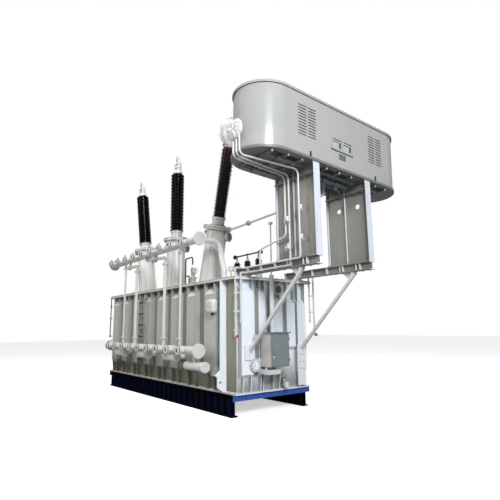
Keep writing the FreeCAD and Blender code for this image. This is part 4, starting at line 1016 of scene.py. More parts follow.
# ---- oil headers
@dataclass
class OilHeaders:
    """Valves, flanges and drums of the two long headers."""

    shop: Workshop
    row_y: float = -1.35
    pipe_radius: float = 0.084
    branch: float = 0.095
    valve_radius: float = 0.092
    valve_depth: float = 0.062
    count: int = 9
    first: float = 0.28
    last: float = 0.51
    end_flange: float = 0.15
    thin: float = 0.028
    thick: float = 0.040
    low_flange: float = 1.455
    thin_flange: float = 3.375
    thick_flange: float = 3.20
    drums: tuple = ((-1.791, 0.275, 0.361, 0.178), (-0.255, 0.305, 0.315, 0.178), (1.281, 0.351, 0.219, 0.178),
                    (2.049, 0.100, 0.650, 0.320))

    def build(self) -> None:
        """Build the fittings of both headers."""
        for level in ("upper", "lower"):
            low, high = (Vector(corner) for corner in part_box(level + "_header"))
            height = (low.z + high.z) / 2
            self.build_valves(level, low.x, high.x, height)
            self.build_end_bolts(level, low.x, high.x, height)
        self.build_riser_flanges()
        self.build_drum_bands()

    def build_valves(self, level: str, left: float, right: float, height: float) -> None:
        """Butterfly valves with stepped bodies, blank plates, bolts and short levers.

        Args:
            level: which header.
            left: where the header starts.
            right: where it ends.
            height: height of its middle.
        """
        face = self.row_y - self.pipe_radius - self.branch
        bodies, bolts, levers, groove_shade = bmesh.new(), bmesh.new(), bmesh.new(), bmesh.new()
        depth, radius = self.valve_depth, self.valve_radius
        pitch = (right - self.last - left - self.first) / (self.count - 1)
        for index in range(self.count):
            spot = Vector((left + self.first + index * pitch, face, height))
            place = facing(spot, FRONT)
            turn(bodies, place, [(0.0, 0.0), (radius - 0.003, 0.0), (radius, 0.003), (radius, 0.013),
                                 (radius - 0.003, 0.016), (radius * 0.74, 0.018), (radius * 0.72, 0.040),
                                 (radius - 0.003, 0.042), (radius, 0.045), (radius, 0.059), (radius - 0.003, depth),
                                 (radius * 0.45, depth), (radius * 0.42, depth - 0.004), (0.0, depth - 0.004)], 32)
            for side in (lift(place, depth), facing(spot, REAR)):
                bolt_ring(bolts, side, radius * 0.84, 6, 0.0105, 30.0)
            # Dark rings in the valve's neck and behind it, and a dark disc in the recess of its face: painted shade.
            for low, high in ((0.0155, 0.0425), (-0.007, 0.0005)):
                ring, hole = radius * 0.8, radius * 0.5
                turn(groove_shade, place, [(hole, low), (ring, low), (ring, high), (hole, high)], 28)
            turn(groove_shade, lift(place, depth - 0.0045),
                 [(radius * 0.43, 0.0), (radius * 0.40, 0.003), (radius * 0.2, 0.004), (0.0, 0.004)], 24)
            stem = spot + Vector((0.0, -0.029, 0.0))
            bar(levers, stem + UP * radius * 0.7, stem + UP * (radius + 0.014), 0.012, segments=16)
            block(levers, stem + Vector((-0.012, -0.012, radius + 0.010)),
                  stem + Vector((0.055, 0.012, radius + 0.020)), 0.004, 2)
        self.shop.make(level + "_valve_bodies", bodies, "pipe", Slot.PIPE, replaces=(level + "_header_valves",))
        self.shop.make_bolts(level + "_valve_bolts", bolts)
        self.shop.make(level + "_valve_levers", levers, "shade_grey", Slot.PIPE)
        self.shop.make(level + "_valve_groove_shade", groove_shade, "seal_brown", Slot.BLACK)

    def build_end_bolts(self, level: str, left: float, right: float, height: float) -> None:
        """Bolts and weld necks at a header's two ends.

        Args:
            level: which header.
            left: where the header starts.
            right: where it ends.
            height: height of its middle.
        """
        bolts, necks = bmesh.new(), bmesh.new()
        for x, way in ((left, -1.0), (right, 1.0)):
            face = facing(Vector((x, self.row_y, height)), Vector((way, 0.0, 0.0)))
            back = facing(Vector((x - way * 0.028, self.row_y, height)), Vector((-way, 0.0, 0.0)))
            bolt_ring(bolts, back, self.end_flange - 0.026, 12, 0.013)
            turn(necks, back, [(self.pipe_radius - 0.001, 0.0), (self.pipe_radius + 0.016, 0.0),
                               (self.pipe_radius + 0.002, 0.04), (self.pipe_radius - 0.001, 0.045)], 36)
            turn(necks, face, [(self.end_flange - 0.012, -0.001), (self.end_flange - 0.016, 0.004), (0.0, 0.005)], 48)
            if way < 0:
                bolt_ring(bolts, face, self.end_flange - 0.026, 12, 0.013)
        self.shop.make_bolts(level + "_end_bolts", bolts)
        self.shop.make(level + "_end_necks", necks, "pipe", Slot.PIPE)

    def build_riser_flanges(self) -> None:
        """Pairs of flanges near both ends of each upright pipe."""
        low, high = (Vector(corner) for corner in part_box("upper_header"))
        spots = [(low.x + 0.9, self.thin), (low.x + 1.71, self.thick), (high.x - 1.59, self.thick),
                 (high.x - 0.82, self.thin)]
        rings, bolts = bmesh.new(), bmesh.new()
        for x, radius in spots:
            for z in (self.low_flange, self.thin_flange if radius == self.thin else self.thick_flange):
                place = facing(Vector((x, self.row_y, z)), UP)
                for step in (0.0, 0.022):
                    turn(rings, lift(place, step),
                         [(radius - 0.001, 0.0), (radius + 0.036, 0.0), (radius + 0.038, 0.003),
                          (radius + 0.038, 0.013), (radius + 0.036, 0.016), (radius - 0.001, 0.016)], 28)
                bolt_ring(bolts, lift(place, 0.038), radius + 0.024, 4, 0.009, 45.0)
                bolt_ring(bolts, place @ UPSIDE_DOWN, radius + 0.024, 4, 0.009, 45.0)
        self.shop.make("riser_flanges", rings, "pipe", Slot.PIPE)
        self.shop.make_bolts("riser_bolts", bolts)

    def build_drum_bands(self) -> None:
        """Dished ends, bands and bolts of the drums under the lower header."""
        low, high = (Vector(corner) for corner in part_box("lower_header"))
        height = (low.z + high.z) / 2
        shells, bolts = bmesh.new(), bmesh.new()
        for x, left, right, drop in self.drums:
            middle = self.shop.at(x, self.row_y + 0.06, height - drop)
            end = facing(middle + RIGHT * right, RIGHT)
            turn(shells, end, [(0.1, -0.001), (0.098, 0.005), (0.0, 0.006)], 40)
            start = facing(middle - RIGHT * left, LEFT)
            turn(shells, start, [(0.085, -0.001), (0.075, 0.016), (0.05, 0.026), (0.0, 0.03)], 40)
            bolt_ring(bolts, facing(middle + RIGHT * (right - 0.028), LEFT), 0.097, 10, 0.009)
            for share in (0.3, 0.7):
                spot = middle + Vector((-left + share * (left + right), 0.0, 0.0))
                hoop(shells, facing(spot, RIGHT), 0.085, 0.004, 40, 6)
        self.shop.make("drum_ends", shells, "pipe", Slot.PIPE)
        self.shop.make_bolts("drum_bolts", bolts)


# ---- tank
@dataclass
class TankTrim:
    """Bolts, gasket and small fittings of the tank."""

    shop: Workshop
    bolt_pitch: float = 0.152
    bolt_size: float = 0.019
    bolt_inset: float = 0.055
    stringer: float = 0.04
    rung: float = 0.020
    rung_pitch: float = 0.30
    first_rung: float = 0.15
    pod_low: tuple = (2.51, -1.185, 2.005)
    pod_high: tuple = (2.80, -1.045, 2.295)

    def build(self) -> None:
        """Build the tank's fittings."""
        self.build_flange_bolts()
        self.build_gasket()
        self.build_pod()
        self.build_weld_beads()
        self.build_ladder()

    def build_flange_bolts(self) -> None:
        """Heads on top of the cover flange and nuts under it, all the way round."""
        heads, nuts = bmesh.new(), bmesh.new()
        shop = self.shop
        x, y = shop.half_length - self.bolt_inset, shop.half_width - self.bolt_inset
        spots = []
        for span, fixed, along in ((x, y, True), (y, x, False)):
            count = int(2 * span / self.bolt_pitch)
            for index in range(count + 1):
                run = -span + 2 * span * index / count
                for side in (-1, 1):
                    if along or 0 < index < count:
                        spots.append((run, side * fixed) if along else (side * fixed, run))
        for px, py in spots:
            bolt(heads, shop.at(px, py, shop.cover - 0.002), UP, self.bolt_size)
            bolt(nuts, shop.at(px, py, shop.flange_under), DOWN, self.bolt_size)
        shop.make("cover_bolts", heads, "bolt_painted", Slot.TANK)
        shop.make("cover_nuts", nuts, "bolt_painted", Slot.TANK)

    def build_gasket(self) -> None:
        """Dark gasket edge between the cover and the flange."""
        shop = self.shop
        bm = bmesh.new()
        low, high = shop.flange_top - 0.001, shop.flange_top + 0.007
        x, y = shop.half_length - 0.012, shop.half_width - 0.012
        for side in (-1, 1):
            block(bm, shop.at(-x, side * y - 0.003, low), shop.at(x, side * y + 0.003, high), 0.001, 1)
            block(bm, shop.at(side * x - 0.003, -y, low), shop.at(side * x + 0.003, y, high), 0.001, 1)
        shop.make("cover_gasket", bm, "black", Slot.BLACK)

    def build_pod(self) -> None:
        """Rounded housing hung on the last front rib, with its bracket and gland."""
        shop = self.shop
        bm = bmesh.new()
        block(bm, shop.at(*self.pod_low), shop.at(*self.pod_high), 0.062, 6)
        low, high = self.pod_low, self.pod_high
        block(bm, shop.at(low[0] + 0.05, high[1] - 0.01, low[2] + 0.06),
              shop.at(low[0] + 0.12, high[1] + 0.01, high[2] - 0.06), 0.004, 2)
        shop.make("rib_housing", bm, "pipe", Slot.PIPE)
        bm = bmesh.new()
        middle = shop.at((low[0] + high[0]) / 2, (low[1] + high[1]) / 2, low[2])
        bar(bm, middle + Vector((0.02, 0.0, 0.01)), middle + Vector((0.02, 0.0, -0.05)), 0.035, 0.028, 24)
        hoop(bm, facing(middle + Vector((0.0, -0.069, 0.16)), FRONT), 0.05, 0.004, 32, 6)
        shop.make("rib_housing_gland", bm, "black", Slot.BLACK)

    def build_weld_beads(self) -> None:
        """Beads where the walls meet each other and the bottom plate."""
        shop = self.shop
        bm = bmesh.new()
        low, high = (Vector(corner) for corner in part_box("tank_body"))
        for x in (low.x, high.x):
            for y in (low.y, high.y):
                bar(bm, Vector((x, y, low.z)), Vector((x, y, high.z)), 0.007, segments=8)
        for y in (low.y, high.y):
            bar(bm, Vector((low.x, y, low.z)), Vector((high.x, y, low.z)), 0.008, segments=8)
        for x in (low.x, high.x):
            bar(bm, Vector((x, low.y, low.z)), Vector((x, high.y, low.z)), 0.008, segments=8)
        shop.make("wall_welds", bm, "turret", Slot.TANK)

    def build_ladder(self) -> None:
        """Ladder with dark gripped rungs, channel stringers and bolted stand-off straps."""
        low, high = (Vector(corner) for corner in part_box("ladder"))
        rungs, stringers, bolts = bmesh.new(), bmesh.new(), bmesh.new()
        front = low.y + self.stringer
        z = low.z + self.first_rung
        half = Vector(((high.x - low.x) / 2 - 0.006, 0.0, 0.0))
        while z < high.z - 0.06:
            middle = Vector(((low.x + high.x) / 2, low.y + self.stringer / 2, z))
            bar(rungs, middle - half, middle + half, self.rung, segments=14)
            for share in (-0.8, -0.4, 0.0, 0.4, 0.8):
                hoop(rungs, facing(middle + half * share, RIGHT), self.rung, 0.003, 14, 6)
            z += self.rung_pitch
        for x, way in ((low.x, 1.0), (high.x, -1.0)):
            x0, x1 = sorted((x, x + way * 0.008))
            block(stringers, (x0, low.y, low.z), (x1, front, high.z), 0.002, 2)
            x0, x1 = sorted((x, x + way * 0.02))
            block(stringers, (x0, front - 0.006, low.z), (x1, front, high.z), 0.002, 2)
            for height in (low.z + 0.12, (low.z + high.z) / 2, high.z - 0.12):
                block(stringers, (x0, front - 0.004, height - 0.02), (x1, high.y, height + 0.02), 0.002, 1)
                bolt(bolts, Vector((x, low.y + 0.02, height)), Vector((-way, 0.0, 0.0)), 0.009)
        self.shop.make("ladder_rungs", rungs, "black", Slot.TANK, replaces=("ladder",))
        self.shop.make("ladder_stringers", stringers, "ladder", Slot.TANK)
        self.shop.make_bolts("ladder_bolts", bolts)


# ---- conservator
@dataclass
class ConservatorTrim:
    """Louvres, sight glass, neck fittings and seams of the conservator."""

    shop: Workshop
    slope: float = 2.2
    half_width: float = 0.57
    half_length: float = 1.97
    height: float = 1.22
    pivot: float = 0.38
    louvre_groups: tuple = ((-1.13, -0.70), (0.79, 1.20))
    louvre_low: float = 0.40
    louvre_pitch: float = 0.054
    louvre_rows: int = 11
    louvre_hood: float = 0.017
    glass_low: float = 0.36
    glass_height: float = 0.25
    glass_half: float = 0.305
    frame_bar: float = 0.038
    floor_bars: tuple = (-1.62, -1.30, -0.98, -0.36, -0.02, 0.32, 1.06, 1.38)
    floor_bar_depth: float = 0.042
    above_cover: float = 1.8
    seam_ys: tuple = (-1.4, 1.4)
    lug_ys: tuple = (-0.84, 0.98)
    lid_screws: int = 23
    lid_screw_reach: float = 1.38
    pipe_x: float = 0.205
    pipe_z: float = -0.105
    pipe_flanges: tuple = (-0.30, 0.06, 0.38)
    pipe_valves: tuple = (-0.12, 0.22)

    def place(self) -> Matrix:
        """Work out the conservator's own tilted frame.

        Returns:
            The frame, with Z = 0 on the conservator's underside.
        """
        low, high = (Vector(corner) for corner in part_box("conservator_body"))
        base = self.shop.cover + self.above_cover
        spot = Matrix.Translation(((low.x + high.x) / 2, 0.0, base + self.pivot))
        return spot @ Matrix.Rotation(math.radians(-self.slope), 4, "X") @ Matrix.Translation((0.0, 0.0, -self.pivot))

    def build(self) -> None:
        """Build the conservator's fittings."""
        self.build_louvres()
        self.build_sight_glass()
        self.build_necks()
        self.build_seams()
        self.build_floor_bars()
        self.build_pipe_bolts()

    def build_louvres(self) -> None:
        """Two groups of pressed louvres in two columns, with painted shade in their mouths."""
        place = self.place()
        hoods, mouths = bmesh.new(), bmesh.new()
        face = self.half_width
        for y0, y1 in self.louvre_groups:
            width = (y1 - y0 - 0.035) / 2
            for column in range(2):
                left = y0 + column * (width + 0.035)
                for row in range(self.louvre_rows):
                    low = self.louvre_low + row * self.louvre_pitch
                    block(hoods, (face - 0.002, left, low + 0.010),
                          (face + self.louvre_hood, left + width, low + 0.034), 0.009, 4, place)
                    # Painted shade under each hood.
                    block(mouths, (face - 0.002, left + 0.006, low + 0.004),
                          (face + 0.004, left + width - 0.006, low + 0.012), 0.001, 1, place)
        self.shop.make("conservator_louvres", hoods, "conservator", Slot.CONSERVATOR)
        self.shop.make("louvre_mouth_shade", mouths, "shade_grey", Slot.BLACK)

    def build_sight_glass(self) -> None:
        """Panes with painted shade marks on them, and the bare plate with its rivets."""
        place = self.place()
        face = self.half_width
        window = (2 * self.glass_half - 3 * self.frame_bar) / 2
        low, high = self.glass_low + self.frame_bar, self.glass_low + self.glass_height - self.frame_bar
        panes, shades, plate = bmesh.new(), bmesh.new(), bmesh.new()
        for y in (-self.glass_half + self.frame_bar, self.frame_bar / 2):
            block(panes, (face - 0.001, y - 0.001, low - 0.001),
                  (face + 0.006, y + window + 0.001, high + 0.001), 0.001, 1, place)
            # Painted shade marks inside each pane.
            block(shades, (face + 0.004, y + window * 0.74, low + 0.02),
                  (face + 0.009, y + window * 0.92, high - 0.035), 0.001, 1, place)
            block(shades, (face + 0.004, y + 0.02, high - 0.05),
                  (face + 0.008, y + window * 0.7, high - 0.035), 0.001, 1, place)
        block(plate, (face + 0.006, -0.094, 0.216), (face + 0.0105, 0.094, 0.319), 0.002, 2, place)
        for y in (-0.083, 0.083):
            for z in (0.228, 0.307):
                bolt(plate, place @ Vector((face + 0.0105, y, z)), RIGHT, 0.005)
        self.shop.make("sight_panes", panes, "pane", Slot.BLACK)
        self.shop.make("sight_shades", shades, "black", Slot.BLACK)
        self.shop.make("blank_plate", plate, "shade_grey", Slot.CONSERVATOR)

    def build_necks(self) -> None:
        """Bolts, stepped blank, lifting loop and eye of both end necks."""
        place = self.place()
        bolts, loops, blanks = bmesh.new(), bmesh.new(), bmesh.new()
        for way in (-1.0, 1.0):
            disc = place @ Vector((0.0, way * (self.half_length + 0.06), self.pivot))
            axis = place.to_quaternion() @ Vector((0.0, way, 0.0))
            back = facing(disc, -axis)
            bolt_ring(bolts, back, 0.142, 14, 0.011)
            turn(blanks, back, [(0.109, 0.0), (0.124, 0.0), (0.111, 0.03), (0.109, 0.034)], 40)
            eye = facing(disc + axis * 0.010 + UP * 0.178, axis)
            hoop(loops, eye, 0.022, 0.006, 24, 8)
            rod_top = disc + Vector((-0.11, -way * 0.02, 0.30))
            bar(loops, disc + Vector((-0.06, 0.0, 0.16)), rod_top, 0.006, segments=10)
            bar(loops, rod_top, rod_top + Vector((0.13, -way * 0.05, 0.10)), 0.006, segments=10)
        self.build_neck_film(place)
        self.shop.make_bolts("neck_bolts", bolts)
        self.shop.make("neck_blanks", blanks, "conservator", Slot.CONSERVATOR)
        self.shop.make("neck_loops", loops, "conservator", Slot.CONSERVATOR)

    def build_neck_film(self, place: Matrix) -> None:
        """Crumpled film bag tied over the near end neck.

        Args:
            place: the conservator's tilted frame.
        """
        axis = place.to_quaternion() @ FRONT
        base = facing(place @ Vector((0.0, -self.half_length - 0.015, self.pivot)), axis)
        outline = [(0.113, 0.0), (0.135, 0.01), (0.176, 0.032), (0.192, 0.055), (0.190, 0.075), (0.178, 0.094),
                   (0.150, 0.108), (0.10, 0.117), (0.05, 0.121), (0.0, 0.122)]
        bm = film_bag(base, outline)
        back = base.inverted()
        for vert in bm.verts:
            local = back @ vert.co
            out = max(0.0, min(1.0, (local.z - 0.03) / 0.1))
            crush = noise.turbulence(local * 11.0, 4, False, noise_basis="PERLIN_ORIGINAL") - 0.45
            fold = math.sin(math.atan2(local.y, local.x) * 7 + 3 * noise.noise(local * 6.0))
            local += local.normalized() * (0.030 * crush + 0.007 * fold) * out
            local.z = min(local.z, 0.130)
            vert.co = base @ local
        self.shop.make("neck_film", bm, "film", Slot.FILM, crease=75.0)
        bm = bmesh.new()
        for step in (0.006, 0.014):
            hoop(bm, lift(base, step), 0.125, 0.004, 40, 6)
        self.shop.make("neck_film_ties", bm, "bracket", Slot.FILM)

    def build_seams(self) -> None:
        """Vertical weld seams, lifting lugs at the lower edge and cap screws of the lid."""
        place = self.place()
        seams, lugs, screws = bmesh.new(), bmesh.new(), bmesh.new()
        for x in (-1, 1):
            for y in self.seam_ys:
                spot = Vector((x * self.half_width, y, 0.05))
                bar(seams, place @ spot, place @ (spot + UP * (self.height - 0.1)), 0.004, segments=8)
        for y in self.lug_ys:
            block(lugs, (self.half_width + 0.001, y - 0.012, 0.03), (self.half_width + 0.024, y + 0.012, 0.145), 0.004,
                  2, place)
        for index in range(self.lid_screws):
            y = -self.lid_screw_reach + index * 2 * self.lid_screw_reach / (self.lid_screws - 1)
            for x in (-1, 1):
                seat = place @ Vector((x * (self.half_width + 0.0225), y, self.height - 0.022))
                bolt(screws, seat, Vector((x, 0.0, 0.0)), 0.0055)
        self.shop.make("conservator_seams", seams, "conservator", Slot.CONSERVATOR)
        self.shop.make("conservator_lugs", lugs, "black", Slot.CONSERVATOR)
        self.shop.make_bolts("lid_screws", screws)

    def build_floor_bars(self) -> None:
        """Channel bars across the underside, with dark tray mouths between them."""
        place = self.place()
        bars, trays = bmesh.new(), bmesh.new()
        for index, y in enumerate(self.floor_bars):
            reach = self.half_width - 0.05
            if abs(y) > self.half_length - self.half_width:
                past = abs(y) - (self.half_length - self.half_width)
                reach = math.sqrt(self.half_width ** 2 - past ** 2) - 0.05
            block(bars, (-reach, y - 0.017, -self.floor_bar_depth), (reach, y + 0.017, 0.004), 0.003, 1, place)
            block(bars, (-reach, y - 0.024, -self.floor_bar_depth), (reach, y + 0.024, 0.006 - self.floor_bar_depth),
                  0.002, 1, place)
            if index + 1 < len(self.floor_bars) and self.floor_bars[index + 1] - y < 0.4:
                end = self.floor_bars[index + 1] - 0.05
                for x in (-0.44, 0.30):
                    block(trays, (x, y + 0.05, -0.016), (x + 0.14, end, 0.004), 0.003, 1, place)
        self.shop.make("floor_bars", bars, "bracket", Slot.CONSERVATOR)
        self.shop.make("floor_trays", trays, "black", Slot.BLACK)

    def build_pipe_bolts(self) -> None:
        """Valves on the oil pipe under the conservator and bolts of its flanges."""
        place = self.place()
        bodies, bolts = bmesh.new(), bmesh.new()
        x, z = self.pipe_x, self.pipe_z
        for y in self.pipe_flanges:
            bolt_ring(bolts, place @ Matrix.Translation((x, y, -0.018)) @ UPSIDE_DOWN, 0.053, 6,
                      0.008)
        for y in self.pipe_valves:
            spot = place @ Matrix.Translation((x, y, z)) @ Matrix.Rotation(-math.pi / 2, 4, "X")
            turn(bodies, spot, [(0.038, -0.05), (0.07, -0.05), (0.072, -0.03), (0.055, -0.026), (0.055, 0.026),
                                (0.072, 0.03), (0.07, 0.05), (0.038, 0.05)], 28)
            bar(bodies, place @ Vector((x, y, z - 0.04)), place @ Vector((x, y, z - 0.115)), 0.014, segments=16)
            hoop(bodies, place @ Matrix.Translation((x, y, z - 0.115)), 0.045, 0.007, 28, 8)
        self.shop.make("oil_pipe_valves", bodies, "relay", Slot.RELAY)
        self.shop.make_bolts("oil_pipe_bolts", bolts)


# ---- brackets and conduits
@dataclass
class BracketTrim:
    """Bolts and welds of the two conservator brackets and their braces."""

    shop: Workshop
    y: float = 0.71
    leg_back: float = 4.34
    leg_front: float = 5.37
    beam_top: float = 2.905
    beam_low: float = 2.75
    saddle: float = 0.19
    beam_width: float = 0.155
    anchor_face: float = 3.415
    anchor_hand: float = 0.095
    anchor_pitch: float = 0.145
    anchor_tops: tuple = (1.36, 1.33)
    anchor_rows: tuple = (2, 4)
    underside: float = 4.52
    slope: float = 2.2
    web_holes: tuple = ((0.30, 0.5), (0.77, 0.5))
    bolt_half: float = 0.055
    leg_bolts: int = 6
    beam_bolts: tuple = (3.10, 3.30, 3.62, 3.94)
    stiffeners: tuple = (3.45, 3.85, 4.25, 4.62, 5.02)

    def build(self) -> None:
        """Build the fittings of both sides, and blanks over the near leg's web holes."""
        bolts, welds, anchors = bmesh.new(), bmesh.new(), bmesh.new()
        for index, side in enumerate((-1, 1)):
            self.add_leg(bolts, welds, side)
            self.add_anchor(anchors, side, self.anchor_tops[index], self.anchor_rows[index])
        for x, drop in self.web_holes:
            spot = self.shop.at(self.leg_back + x, -self.y, self.underside - drop)
            for way in (-1.0, 1.0):
                turn(welds, facing(spot + REAR * (way * 0.0055), Vector((0.0, way, 0.0))),
                     [(0.066, 0.0), (0.064, 0.004), (0.0, 0.0045)], 32)
        self.shop.make_bolts("bracket_bolts", bolts)
        self.shop.make("bracket_welds", welds, "bracket", Slot.TANK)
        self.shop.make_bolts("anchor_bolts", anchors)

    def add_leg(self, bolts: BMesh, welds: BMesh, side: int) -> None:
        """Bolts at a leg's foot and saddle, stiffeners in its web and welds on its beam.

        Args:
            bolts: mesh of the bolts.
            welds: mesh of the welds and stiffeners.
            side: -1 for the near bracket and 1 for the far one.
        """
        shop, y = self.shop, side * self.y
        saddle = self.underside - self.saddle - y * math.tan(math.radians(self.slope)) - 0.017
        for step in range(self.leg_bolts):
            x = self.leg_back + 0.09 + step * (self.leg_front - self.leg_back - 0.18) / (self.leg_bolts - 1)
            for across in (-self.bolt_half, self.bolt_half):
                for height in (self.beam_low, saddle):
                    bolt(bolts, shop.at(x, y + across, height), DOWN, 0.014)
        for x in self.beam_bolts:
            for across in (-self.bolt_half, self.bolt_half):
                bolt(bolts, shop.at(x, y + across, self.beam_top), UP, 0.014)
        for x in self.stiffeners:
            for face in (-1, 1):
                block(welds, shop.at(x, y + face * 0.0385 - 0.0315, self.beam_low + 0.014),
                      shop.at(x + 0.010, y + face * 0.0385 + 0.0315, self.beam_top - 0.014), 0.002, 1)
        for x in (self.leg_back + 0.014, self.leg_front - 0.014):
            bar(welds, shop.at(x, y - self.beam_width / 2 + 0.01, self.beam_top + 0.002),
                shop.at(x, y + self.beam_width / 2 - 0.01, self.beam_top + 0.002), 0.006, segments=8)

    def add_anchor(self, bolts: BMesh, side: int, top: float, rows: int) -> None:
        """Bolts and plugs in an anchor plate.

        Args:
            bolts: mesh of the bolts.
            side: -1 for the near plate and 1 for the far one.
            top: height of the plate's top edge.
            rows: rows of holes.
        """
        shop = self.shop
        for row in range(rows):
            z = top - (row + 0.5) * self.anchor_pitch
            for hand in (-1, 1):
                spot = shop.at(self.anchor_face - 0.008, side * self.y + hand * self.anchor_hand / 2, z)
                turn(bolts, facing(spot, RIGHT),
                     [(0.015, 0.0), (0.0125, 0.0), (0.011, -0.004), (0.0, -0.004)], 16)


@dataclass
class ConduitTrim:
    """Couplings, saddles and end fittings of the conduits and corner pipes."""

    shop: Workshop
    radius: float = 0.017
    couplings: tuple = ((4.655, -0.812, 3.60), (4.758, -0.858, 3.62), (4.758, -0.858, 3.12), (5.06, -0.812, 3.25),
                        (4.655, -0.812, 3.10), (5.06, -0.812, 3.78))
    corner_x: float = 3.455
    corners: tuple = ((0.955, 1.82), (1.085, 1.55))
    tie_heights: tuple = (1.66, 2.02, 2.38)
    left_drop: float = 1.22

    def build(self) -> None:
        """Build the fittings."""
        self.build_couplings()
        self.build_corner_ends()
        self.build_left_pipe()

    def build_left_pipe(self) -> None:
        """Short sampling pipe that hangs from the flange at the left end's near corner."""
        flange, wall = (Vector(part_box(node)[0]) for node in ("tank_flange", "tank_body"))
        bm = bmesh.new()
        top = Vector((flange.x + 0.028, flange.y + 0.028, flange.z + 0.002))
        foot = top - UP * self.left_drop
        bar(bm, top, foot, 0.017, segments=14)
        for share in (0.22, 0.52, 0.97):
            spot = top.lerp(foot, share)
            bar(bm, spot + UP * 0.03, spot - UP * 0.03, 0.025, segments=14)
            bar(bm, spot, Vector((wall.x + 0.002, wall.y + 0.02, spot.z)), 0.007, segments=10)
        self.shop.make("left_sampling_pipe", bm, "shade_grey", Slot.PIPE)

    def build_couplings(self) -> None:
        """Threaded couplings with lock nuts on the upright conduits."""
        bm = bmesh.new()
        for x, y, z in self.couplings:
            spot = self.shop.at(x, y, z)
            place = facing(spot, UP)
            turn(bm, place,
                 [(self.radius - 0.001, -0.045), (0.024, -0.045), (0.026, -0.04), (0.026, -0.02), (0.023, -0.016),
                  (0.023, 0.016), (0.026, 0.02), (0.026, 0.04), (0.024, 0.045), (self.radius - 0.001, 0.045)], 16)
            block(bm, spot + Vector((-0.034, 0.010, -0.066)), spot + Vector((0.034, 0.03, -0.052)), 0.003, 1)
        self.shop.make("conduit_couplings", bm, "pipe", Slot.PIPE)

    def build_corner_ends(self) -> None:
        """Straps on the corner pipes and the small red valves at their open ends."""
        straps, tips, bodies = bmesh.new(), bmesh.new(), bmesh.new()
        for side in (-1, 1):
            for y, bottom in self.corners:
                spot = self.shop.at(self.corner_x, side * y, bottom)
                turn(bodies, facing(spot, DOWN),
                     [(0.0, -0.03), (0.023, -0.03), (0.023, 0.012), (0.019, 0.02), (0.019, 0.034), (0.0, 0.034)], 20)
            spot = self.shop.at(self.corner_x, side * self.corners[1][0], self.corners[1][1])
            bar(tips, spot + Vector((-0.05, 0.0, 0.002)), spot + Vector((0.06, 0.0, -0.018)), 0.016, 0.014, 16)
            hoop(tips, facing(spot + Vector((0.062, 0.0, -0.019)), RIGHT), 0.026, 0.007, 20, 6)
            bar(tips, spot + Vector((0.0, 0.0, -0.03)), spot + Vector((0.0, side * 0.05, -0.045)), 0.012, segments=12)
            for z in self.tie_heights:
                low = min(side * self.corners[0][0], side * self.corners[1][0]) - 0.03
                high = max(side * self.corners[0][0], side * self.corners[1][0]) + 0.03
                if z < self.corners[0][1]:
                    middle = side * self.corners[1][0]
                    low, high = middle - 0.03, middle + 0.03
                start = self.shop.at(self.corner_x - 0.024, low, z - 0.014)
                block(straps, start, self.shop.at(self.corner_x - 0.012, high, z + 0.014), 0.002, 1)
        self.shop.make("corner_pipe_ends", bodies, "pipe", Slot.PIPE)
        self.shop.make("corner_pipe_straps", straps, "pipe", Slot.PIPE)
        self.shop.make("corner_pipe_valves", tips, "signal_red", Slot.RED)


